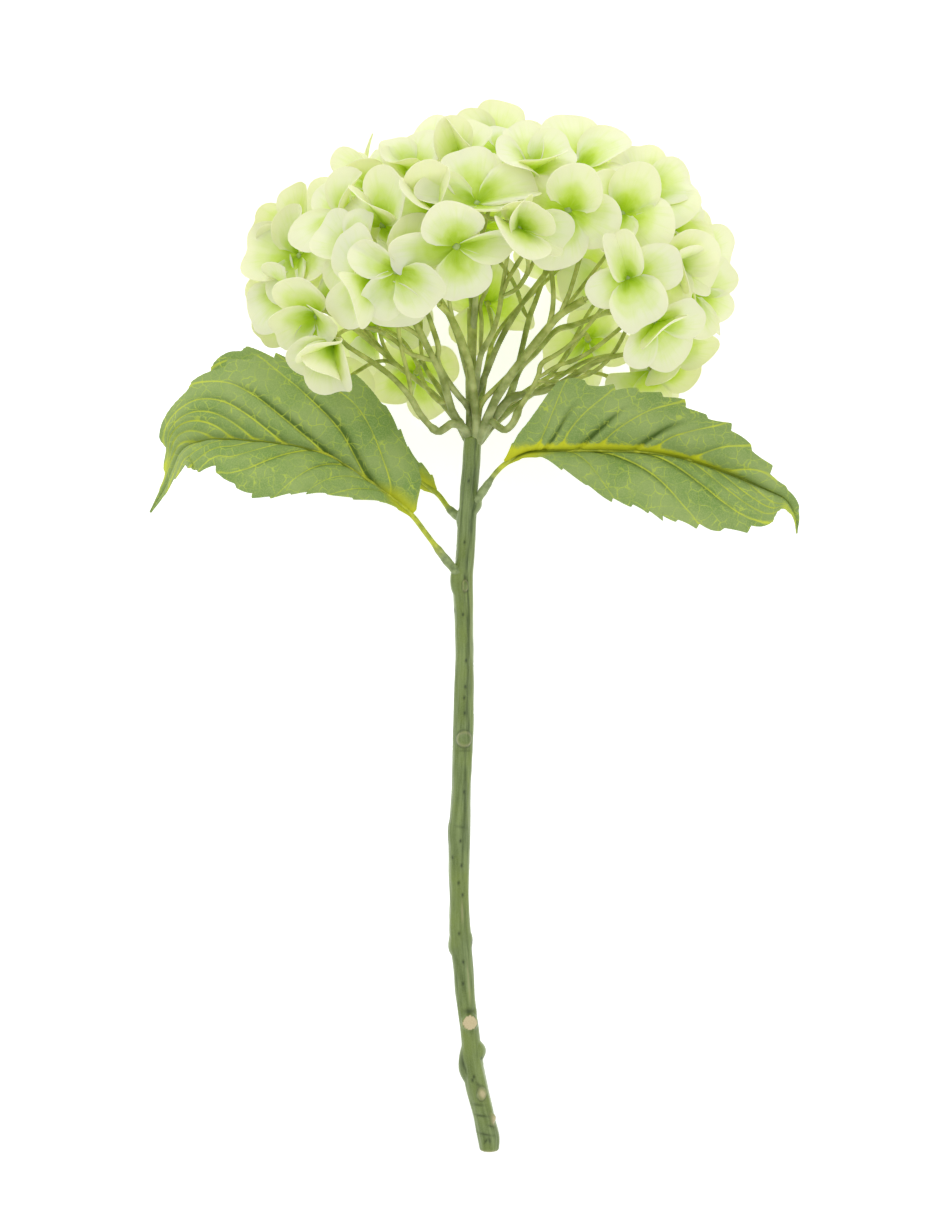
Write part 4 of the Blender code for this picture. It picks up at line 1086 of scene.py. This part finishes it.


# --- Leaves -------------------------------------------------------------------------------------
# Each leaf is polyester cloth printed with veins, cut with teeth and pressed in a vein mould, and
# glued on a moulded petiole that runs on under it as its midrib and is plugged into the cane.

# Midrib and petiole: across, along, up. Edges over and under the midrib: share of its length, and
# distance from it as seen from above. Leans: how steeply the two halves rise, in degrees. Veins
# over and under the midrib: the share where one starts, how far it runs on towards the tip, how
# late it does so, how bright it is printed and how deep the cloth is folded beside it, which also
# sets how much painted shade the print lays in that fold.
LEAVES = {
    "leaf_left": {
        "midrib": [(-26.5, 291.2, 11.0), (-35.5, 298.8, 12.5), (-45.0, 306.0, 14.0),
                   (-63.0, 317.6, 15.5), (-82.5, 323.0, 16.5), (-110.0, 325.6, 15.5),
                   (-122.0, 324.8, 14.0), (-129.2, 321.5, 12.5), (-133.6, 313.5, 11.0),
                   (-138.0, 304.0, 9.5), (-145.5, 292.5, 7.5)],
        "edges": ([(0.0, 2.0), (0.04, 15.0), (0.09, 20.0), (0.16, 26.0), (0.31, 36.0), (0.45, 38.5),
                   (0.54, 38.5), (0.63, 34.0), (0.71, 27.0), (0.76, 19.0), (0.81, 8.5), (0.88, 3.4),
                   (1.0, 0.3)],
                  [(0.0, 1.0), (0.08, 3.2), (0.16, 10.0), (0.31, 20.5), (0.45, 24.5), (0.54, 23.0),
                   (0.61, 19.5), (0.64, 13.0), (0.71, 14.5), (0.76, 12.0), (0.81, 8.0), (0.88, 3.6),
                   (1.0, 0.3)]),
        "leans": (-12.0, 48.0),
        "veins": ([(0.09, 0.42, 1.9, 1.0, 0.1), (0.16, 0.40, 0.85, 0.95, 1.0),
                   (0.31, 0.41, 0.75, 0.95, 0.9), (0.45, 0.36, 0.85, 1.0, 0.4),
                   (0.54, 0.33, 0.9, 1.0, 0.15), (0.61, 0.28, 0.9, 1.0, 0.05),
                   (0.67, 0.25, 0.9, 0.9, 0.0), (0.73, 0.21, 0.9, 0.8, 0.0)],
                  [(0.08, 0.16, 1.1, 0.9, 0.0), (0.16, 0.18, 1.1, 0.7, 0.0),
                   (0.25, 0.19, 1.0, 0.8, 0.7), (0.37, 0.26, 1.0, 0.9, 0.55),
                   (0.46, 0.25, 1.0, 0.8, 0.0), (0.54, 0.24, 1.0, 0.9, 0.1),
                   (0.62, 0.22, 1.0, 0.9, 0.0), (0.70, 0.20, 1.0, 0.8, 0.0)]),
        "band": 0.4,
        "petiole": [(-4.6, 264.0, 1.2), (-9.6, 269.4, 3.6), (-14.8, 276.0, 6.2),
                    (-20.4, 283.4, 8.8), (-26.5, 291.2, 11.0)],
    },
    "leaf_right": {
        "midrib": [(16.4, 314.8, 7.6), (23.4, 318.6, 9.0), (31.0, 320.0, 10.5), (51.0, 320.4, 12.5),
                   (69.0, 320.2, 14.0), (85.0, 319.0, 15.0), (98.0, 316.4, 15.5),
                   (116.0, 310.4, 15.0), (135.0, 302.6, 12.5), (143.4, 298.2, 10.5),
                   (147.6, 291.0, 8.0), (149.0, 283.0, 5.5)],
        "edges": ([(0.0, 1.5), (0.05, 6.0), (0.09, 12.5), (0.14, 24.0), (0.19, 31.0), (0.295, 27.8),
                   (0.43, 25.5), (0.49, 23.5), (0.535, 20.8), (0.635, 19.0), (0.69, 15.0),
                   (0.765, 10.0), (0.83, 4.5), (0.91, 3.2), (1.0, 0.3)],
                  [(0.0, 1.0), (0.12, 2.5), (0.19, 8.5), (0.245, 14.0), (0.305, 21.0), (0.38, 24.0),
                   (0.45, 26.0), (0.58, 28.5), (0.683, 27.5), (0.742, 24.0), (0.83, 16.5),
                   (0.865, 11.0), (0.885, 4.5), (0.93, 2.6), (1.0, 0.3)]),
        "leans": (24.0, 24.0),
        "veins": ([(0.10, 0.10, 1.4, 1.0, 0.0), (0.125, 0.14, 1.0, 0.0, 0.6),
                   (0.175, 0.16, 1.5, 0.9, 0.0), (0.232, 0.18, 1.0, 0.0, 1.0),
                   (0.29, 0.22, 1.5, 0.9, 0.0), (0.40, 0.17, 1.0, 0.0, 0.9),
                   (0.45, 0.17, 1.3, 1.0, 0.0), (0.57, 0.14, 1.2, 1.0, 0.2),
                   (0.68, 0.14, 1.1, 0.9, 0.0)],
                  [(0.20, 0.14, 1.0, 0.7, 0.0), (0.29, 0.36, 0.85, 0.9, 0.7),
                   (0.435, 0.42, 0.85, 1.0, 0.6), (0.56, 0.36, 0.9, 0.8, 0.0),
                   (0.64, 0.33, 0.9, 0.9, 0.0), (0.74, 0.245, 0.9, 0.7, 0.0)]),
        "band": 4.6,
        "petiole": [(2.2, 297.0, 1.4), (6.8, 303.6, 3.6), (11.6, 310.4, 6.0), (16.4, 314.8, 7.6)],
    },
    "leaf_back": {
        "midrib": [(-16.0, 302.5, -10.0), (-30.0, 312.0, -15.0), (-55.0, 327.0, -22.0),
                   (-82.0, 340.0, -28.0), (-106.0, 346.0, -31.0), (-127.0, 334.0, -32.0)],
        "edges": ([(0.0, 1.0), (0.03, 4.5), (0.12, 7.0), (0.2, 9.0), (0.3, 14.0), (0.5, 20.0),
                   (0.7, 20.0), (0.82, 24.0), (0.88, 15.0), (0.94, 6.0), (1.0, 0.3)],
                  [(0.0, 1.0), (0.1, 4.0), (0.3, 17.0), (0.5, 22.0), (0.7, 18.0), (0.86, 9.0),
                   (1.0, 0.3)]),
        "leans": (-8.0, -30.0),
        "veins": ([(0.08, 0.20, 1.2, 0.8, 0.2), (0.20, 0.25, 1.1, 0.8, 0.3),
                   (0.34, 0.27, 1.1, 0.8, 0.3), (0.48, 0.27, 1.1, 0.8, 0.0),
                   (0.61, 0.25, 1.1, 0.8, 0.0), (0.73, 0.20, 1.1, 0.8, 0.0)],
                  [(0.10, 0.20, 1.2, 0.8, 0.0), (0.23, 0.25, 1.1, 0.8, 0.3),
                   (0.37, 0.27, 1.1, 0.8, 0.3), (0.51, 0.27, 1.1, 0.8, 0.0),
                   (0.64, 0.25, 1.1, 0.8, 0.0), (0.76, 0.19, 1.1, 0.8, 0.0)]),
        "band": 0.4,
        "petiole": [(-2.6, 288.5, -1.2), (-9.5, 294.5, -5.0), (-16.0, 302.5, -10.0)],
    },
}
TEETH = 15
TOOTH_DEPTH = 2.7
TOOTH_CLIMB = 0.8  # share of a tooth that climbs
LEAF_COLUMNS = 88
LEAF_ROWS = 280
LEAF_THICKNESS = 0.6
END_GAP = 0.06  # how far the print fades out before the first vein and after the last
PUFF = 1.0  # mm the cloth stands up between the veins
GROOVE = 0.28  # mm it is pressed down along a vein, along the midrib and in a fold
RIB_GROOVE = 1.2
FOLD_DEPTH = 1.1
ARCH = 0.12  # shares of a half blade's width
WAVE = 0.05
NET_CURL = 0.0022  # how far the net's lines stray, in metres
PETIOLE_RADIUS = 1.2
PLUG_SWELL = 0.6  # how much thicker it is where it is plugged into the cane
RIB_TIP = 0.4  # radius of the rib's end
RIB_UNDER = 1.3  # from the blade down to the rib's middle
PETIOLE_SIDES = 14
PETIOLE_RINGS = 130


def line_between(rows, place):
    """The value at a place, on straight lines between rows of (place, value)."""
    for (here, low), (there, high) in zip(rows, rows[1:]):
        if place <= there:
            return low + (high - low) * max(0.0, (place - here) / (there - here))
    return rows[-1][1]


def edge_at(edge, share):
    """How far a blade's edge is from its midrib, with the corners between the rows eased."""
    return sum(weight * line_between(edge, share + off)
               for off, weight in ((-0.015, 0.25), (0.0, 0.5), (0.015, 0.25)))


def leaf_rows(midrib, rows):
    """The midrib's length, and even places along it with the direction in which it runs there."""
    fine = [Vector(p) for p in smooth_route(midrib, 1.0)]
    lengths = [0.0]
    for a, b in zip(fine, fine[1:]):
        lengths.append(lengths[-1] + (b - a).length)
    places = []
    i = 0
    for row in range(rows):
        target = lengths[-1] * row / (rows - 1)
        while i < len(fine) - 2 and lengths[i + 1] < target:
            i += 1
        t = (target - lengths[i]) / (lengths[i + 1] - lengths[i])
        ahead = fine[min(i + 4, len(fine) - 1)] - fine[max(i - 3, 0)]
        places.append((fine[i].lerp(fine[i + 1], t), ahead.normalized()))
    return lengths[-1], places


def tooth_at(share):
    """How far a tooth stands out of the edge: a slow climb and a quick drop towards the tip."""
    part = (share * TEETH + 0.12 + 0.2 * math.sin(share * 13.0)) % 1.0
    height = part / TOOTH_CLIMB if part < TOOTH_CLIMB else (1 - part) / (1 - TOOTH_CLIMB)
    ends = min(1.0, share / 0.06) * min(1.0, (1 - share) / 0.12)
    return TOOTH_DEPTH * height * max(0.0, ends) * (0.8 + 0.3 * math.sin(share * 41.0))


def vein_place(veins, share, out, length, half):
    """Where a point of a blade lies among its side veins.

    Gives its phase, which is whole on a vein, the distance between the veins there in mm, how
    bright the nearest one is printed, and how deep the cloth is folded there.
    """
    lines = [start + run * out ** late for start, run, late, _, _ in veins]
    passed = sum(line <= share for line in lines)
    if passed == 0:
        gap = END_GAP
        phase = max(-0.49, (share - lines[0]) / gap)
    elif passed == len(lines):
        gap = END_GAP
        phase = passed - 1 + min(0.49, (share - lines[-1]) / gap)
    else:
        gap = lines[passed] - lines[passed - 1]
        phase = passed - 1 + (share - lines[passed - 1]) / gap
    start, run, late, bright, depth = veins[round(phase)]
    slope = run * late * max(out, 0.1) ** (late - 1) * length / max(half, 6.0)
    spacing = gap * length / math.hypot(1.0, slope)
    off = (phase - round(phase)) * spacing
    beside = math.exp(-((off + 0.5) / 1.0) ** 2) + 0.45 * math.exp(-((off + 1.6) / 1.6) ** 2)
    fold = depth * beside * max(0.0, 1 - (out / 0.8) ** 2)
    return phase, spacing, bright, fold


def blade_relief(phase, fold, share, out, half):
    """The pressed midrib, side veins, folds and the puffs between the veins, in mm."""
    off = abs(phase - round(phase))
    fade = math.sin(math.pi * min(1.0, out ** 0.8)) * min(1.0, (1 - share) / 0.3)
    puff = PUFF * (math.sin(math.pi * min(off * 2, 1.0) / 2) - 0.5) * fade
    groove = -GROOVE * math.exp(-(off / 0.07) ** 2) * fade
    midrib = -RIB_GROOVE * math.exp(-(out * half / 1.5) ** 2) * min(1.0, (1 - share) / 0.25)
    return puff + groove + midrib - FOLD_DEPTH * fold


def make_blade(name, leaf):
    """The toothed blade, folded along its midrib, its halves arched, waved and pressed.

    Two attributes tell the print where a point is: vein_place holds the phase among the veins,
    their distance in mm and their brightness, and blade_place the distance over the midrib in mm,
    the share of its length and the depth of the fold, which the print darkens as painted shade.
    """
    blade = unit_grid(name + "_blade", LEAF_COLUMNS, LEAF_ROWS)
    length, places = leaf_rows(leaf["midrib"], LEAF_ROWS + 1)
    among_veins = []
    on_blade = []
    for vertex in blade.data.vertices:
        share = vertex.co.y
        across = 2 * vertex.co.x - 1
        out = abs(across)
        place, ahead = places[round(share * LEAF_ROWS)]
        half_index = 0 if across > 0 else 1
        sign = 1 if across > 0 else -1
        lean = math.radians(leaf["leans"][half_index])
        side = Vector((0, math.cos(lean) * sign, math.sin(lean)))
        side = (side - ahead * side.dot(ahead)).normalized()
        face = Vector((0, 0, 1))
        face = (face - ahead * face.dot(ahead)).normalized()
        face = (face - side * face.dot(side)).normalized()
        half = max(edge_at(leaf["edges"][half_index], share) / math.cos(lean), 0.3)
        phase, spacing, bright, fold = vein_place(
            leaf["veins"][half_index], share, out, length, half)
        arch = ARCH * half * math.sin(math.pi * out)
        wave = WAVE * half * out ** 2 * math.sin(7.0 * share * math.pi + (0.8 if sign > 0 else 0.0))
        tooth = tooth_at(share) * out ** 14 * min(1.0, half / 8)
        relief = blade_relief(phase, fold, share, out, half) * min(1.0, half / 12)
        spot = place + side * (half * out + tooth) + face * (arch + wave + relief) + ahead * tooth * 0.6
        vertex.co = lay(*spot)
        among_veins += [phase, spacing, bright]
        on_blade += [sign * out * half, share, fold]
    write_values(blade, "vein_place", among_veins, "FLOAT_VECTOR", "vector")
    write_values(blade, "blade_place", on_blade, "FLOAT_VECTOR", "vector")
    return blade


def make_stalk(name, leaf):
    """The petiole with its thicker sleeve at the cane, running on as the rib under the blade."""
    rib = [(x, y, z - RIB_UNDER) for x, y, z in leaf["midrib"][1:-2]]
    route = smooth_route(leaf["petiole"] + rib, 1.0)
    share_of_petiole = len(smooth_route(leaf["petiole"], 1.0)) / len(route)
    stalk = unit_grid(name + "_stalk", PETIOLE_SIDES, PETIOLE_RINGS)

    def stalk_thickness(share):
        if share < share_of_petiole:
            part = share / share_of_petiole
            sleeve = (0.8 + 0.12 * math.sin(part * 31.0)) / (1 + math.exp((part - 0.46) * 30))
            return PETIOLE_RADIUS + sleeve + PLUG_SWELL * math.exp(-(part / 0.1) ** 2)
        part = (share - share_of_petiole) / (1 - share_of_petiole)
        return PETIOLE_RADIUS - (PETIOLE_RADIUS - RIB_TIP) * part ** 0.6

    shape_strand(stalk, route, stalk_thickness, PETIOLE_RINGS)
    close_tube(stalk)
    return stalk


def print_side_veins(material, vein, off_midrib, where):
    """The side veins' print: its strength, the way off a vein in mm, and the wear in patches."""
    shifted = calculate(material, "ADD", vein.outputs["X"], 0.5)
    turned = calculate(material, "FRACT", shifted)
    apart = distance(material, turned, 0.5)
    off_vein = product(material, apart, vein.outputs["Y"])
    vein_width = remap(material, off_midrib, (0.0, 36.0), (0.46, 0.26))
    in_widths = calculate(material, "DIVIDE", off_vein, vein_width)
    vein_line = remap(material, in_widths, (0.5, 1.5), (1.0, 0.0))
    blotch = noise_over(material, where, 170.0, 3.0)
    worn = remap(material, blotch, (0.34, 0.6), (0.55, 1.0))
    fading = remap(material, off_midrib, (4.0, 36.0), (1.0, 0.75))
    strength = product(material, vein_line, vein.outputs["Z"], worn, fading)
    return strength, off_vein, blotch


def print_net(material, where, blotch):
    """How strongly the net of fine veins is printed, with curled lines and worn patches."""
    curl = noise_over(material, where, 330.0, 1.0)
    curled = add_node(material, "VectorMath", {
        0: curl.outputs["Color"], 1: (NET_CURL, NET_CURL, NET_CURL)}, operation="MULTIPLY")
    net_place = add_node(material, "VectorMath", {0: where, 1: curled}, operation="ADD")
    net = add_node(material, "TexVoronoi", {
        "Vector": net_place, "Scale": 185.0, "Randomness": 0.9}, feature="DISTANCE_TO_EDGE")
    net_line = remap(material, net, (0.012, 0.05), (0.75, 0.0))
    net_worn = remap(material, blotch, (0.4, 0.62), (0.12, 1.0))
    return product(material, net_line, net_worn)


def print_band(material, spot, vein, off_vein, where, band):
    """How strong the ragged yellow band over the midrib is, with spikes out along the veins."""
    at_vein = remap(material, off_vein, (0.0, 2.2), (2.6, 0.0))
    spike = product(material, at_vein, vein.outputs["Z"])
    ragged = noise_over(material, where, 620.0, 3.0)
    band_width = remap(material, spot.outputs["Y"], (0.35, 0.8), (band - 1.5, 0.35 * band - 1.5))
    jag = calculate(material, "MULTIPLY_ADD", ragged, 3.0, band_width)
    band_edge = calculate(material, "ADD", jag, spike)
    past_band = calculate(material, "SUBTRACT", spot.outputs["X"], band_edge)
    in_band = remap(material, past_band, (-1.3, 0.3), (1.0, 0.0))
    over_rib = calculate(material, "GREATER_THAN", spot.outputs["X"], 0.0)
    strength = 0.95 if band > 1 else 0.5
    band_end = remap(material, spot.outputs["Y"], (0.62, 0.78), (strength, 0.0))
    return product(material, in_band, over_rib, band_end)


def printed_leaf(name, band, underside=False):
    """Printed polyester leaf cloth: matt green with a fine speckle and yellow-green veins, with painted
    shade in its folds and, on the upper side, along its sunk midrib.

    band is how wide the yellow band over the midrib is, in mm. The veins are 0.9 to 0.5 mm wide,
    the meshes of the net about 5 mm and the speckle of the cloth 0.6 mm.
    """
    material, shader = new_material(name)
    among_veins = add_node(material, "Attribute", attribute_name="vein_place")
    vein = add_node(material, "SeparateXYZ", {"Vector": among_veins.outputs["Vector"]})
    on_blade = add_node(material, "Attribute", attribute_name="blade_place")
    spot = add_node(material, "SeparateXYZ", {"Vector": on_blade.outputs["Vector"]})
    where = add_node(material, "TexCoord").outputs["Object"]

    off_midrib = calculate(material, "ABSOLUTE", spot.outputs["X"])
    side_vein, off_vein, blotch = print_side_veins(material, vein, off_midrib, where)
    net_part = print_net(material, where, blotch)
    speckle = noise_over(material, where, 1700.0, 1.0)
    patches = noise_over(material, where, 42.0, 3.0)
    tone = remap(material, patches, (0.36, 0.64))
    dark_green, light_green = ("#8FA56E", "#A9BB8A") if underside else ("#7F9E52", "#9DB36C")
    cloth = blend(material, tone, dark_green, light_green)
    grain = remap(material, speckle, (0.42, 0.66), (0.0, 0.42))
    speckled = blend(material, grain, cloth, "#B2C276")
    # Darker where the cloth is folded beside a vein: painted shade in the fold.
    fold = remap(material, spot.outputs["Z"], (0.04, 0.7), (0.0, 0.75))
    shaded = blend(material, fold, speckled, "#446214")
    netted = blend(material, net_part, shaded, "#C6D858")
    veined = blend(material, side_vein, netted, "#D2DE4C")

    band_all = print_band(material, spot, vein, off_vein, where, band)
    banded = blend(material, band_all, veined, "#DEE230")

    base_reach = remap(material, spot.outputs["Y"], (0.08, 0.18), (6.0, 0.0))
    past_base = calculate(material, "SUBTRACT", off_midrib, base_reach)
    at_base = remap(material, past_base, (-4.0, 1.0), (0.85, 0.0))
    rooted = blend(material, at_base, banded, "#C6CB22")
    # On the upper side a dark line along the sunk midrib: painted shade in its groove; the underside's
    # rib is lighter.
    rib_width = remap(material, spot.outputs["Y"], (0.05, 0.85), (1.35, 0.7))
    rib_place = calculate(material, "DIVIDE", off_midrib, rib_width)
    rib_line = remap(material, rib_place, (0.3, 0.95), (0.75, 0.0))
    rib_green = "#B9C66A" if underside else "#5C7216"
    ribbed = blend(material, rib_line, rooted, rib_green)
    weave = add_node(material, "Bump", {"Strength": 0.3, "Distance": 0.0002, "Height": speckle})
    set_inputs(shader, {"Base Color": ribbed, "Normal": weave, "Roughness": 0.68,
                        "Specular IOR Level": 0.22})
    let_light_through(material, shader, "#A5C255", 0.12)
    return material


def moulded_petiole():
    """Polyethylene petiole: green at the cane, washed yellow-green from the sleeve's end on."""
    material, shader = new_material("moulded_polyethylene_petiole")
    place = add_node(material, "UVMap", uv_map="UVMap")
    split = add_node(material, "SeparateXYZ", {"Vector": place})
    far = remap(material, split.outputs["Y"], (0.08, 0.13))
    where = add_node(material, "TexCoord").outputs["Object"]
    wash = noise_over(material, where, 300.0, 3.0)
    tone = remap(material, wash, (0.35, 0.65))
    green = blend(material, tone, "#6B7C47", "#98A870")
    yellow = blend(material, tone, "#93A22C", "#C3CB34")
    ripe = blend(material, far, green, yellow)
    bump = add_node(material, "Bump", {"Strength": 0.2, "Distance": 0.0002, "Height": wash})
    set_inputs(shader, {"Base Color": ripe, "Normal": bump, "Roughness": 0.5})
    return material


petiole_plastic = moulded_petiole()
for name, leaf in LEAVES.items():
    blade = make_blade(name, leaf)
    blade.data.materials.append(printed_leaf(name + "_printed_cloth", leaf["band"]))
    blade.data.materials.append(printed_leaf(name + "_cloth_underside", 0.0, underside=True))
    if leaf["midrib"][-1][0] > leaf["midrib"][0][0]:
        blade.data.flip_normals()
    thicken(blade, LEAF_THICKNESS, material_offset=1)
    finish_piece(blade, None, [name])
    finish_piece(make_stalk(name, leaf), petiole_plastic, [name])


# --- Table, light and camera --------------------------------------------------------------------
# A plain white table under a soft even studio light, seen square on to the stem from above. The
# table glows with its own light: painted light that washes out its shadows and lights the bloom
# from beneath.

TABLE_SIZE = 6.0
CAMERA_AIM = (0.0, 249.2, 0.0)
CAMERA_DISTANCE = 1.4
LENS = 90.6
WORLD_STRENGTH = 0.8
TABLE_GLOW = 0.62

bpy.ops.object.select_all(action="DESELECT")
bpy.ops.mesh.primitive_plane_add(size=TABLE_SIZE, location=(0, 0, 0))
table = bpy.context.object
table.name = "table"
glowing_paper, glowing_paper_shader = new_material("glowing_matt_white_paper")
fibre_place = add_node(glowing_paper, "TexCoord").outputs["Object"]
fibre = noise_over(glowing_paper, fibre_place, 40.0, 4.0)
paper_tone = blend(glowing_paper, fibre, "#DEDEDF", "#DADADC")
# The table's glow is painted light: it fills the shadows on the table and lights the bloom from below.
set_inputs(glowing_paper_shader, {"Base Color": paper_tone, "Roughness": 0.9,
                          "Emission Color": "#FFFFFF", "Emission Strength": TABLE_GLOW})
table.data.materials.append(glowing_paper)

world = bpy.data.worlds.new("white_studio")
bpy.context.scene.world = world
world.use_nodes = True
world.node_tree.nodes["Background"].inputs["Color"].default_value = (1, 1, 1, 1)
world.node_tree.nodes["Background"].inputs["Strength"].default_value = WORLD_STRENGTH


def soft_box(name, place, aim, size, power):
    """A large square studio light at a place, turned to an aim, both in metres."""
    lamp = bpy.data.lights.new(name, "AREA")
    lamp.shape = "SQUARE"
    lamp.size = size
    lamp.energy = power
    holder = bpy.data.objects.new(name, lamp)
    bpy.context.scene.collection.objects.link(holder)
    holder.location = place
    holder.rotation_euler = (Vector(aim) - Vector(place)).to_track_quat("-Z", "Y").to_euler()


soft_box("key_light", (-0.7, 0.9, 1.3), (0.0, 0.1, 0.08), 1.0, 6.0)
soft_box("fill_light", (0.9, -0.5, 1.4), (0.0, 0.0, 0.05), 1.2, 4.0)
soft_box("bloom_light", (0.15, 1.15, 0.3), (0.0, 0.12, 0.08), 0.8, 1.6)

camera_data = bpy.data.cameras.new("camera")
camera_data.lens = LENS
camera_data.sensor_width = 36.0
camera = bpy.data.objects.new("camera", camera_data)
bpy.context.scene.collection.objects.link(camera)
stem_up = (lay(0, 0, 1) - lay(0, 0, 0)).normalized()
stem_along = (lay(0, 1, 0) - lay(0, 0, 0)).normalized()
camera.location = lay(*CAMERA_AIM) + stem_up * CAMERA_DISTANCE
turn = stem_up.to_track_quat("Z", "Y").to_matrix()
turn.col[0] = stem_along.cross(stem_up)
turn.col[1] = stem_along
turn.col[2] = stem_up
camera.rotation_euler = turn.to_euler()
bpy.context.scene.camera = camera
bpy.context.scene.view_settings.view_transform = "Standard"
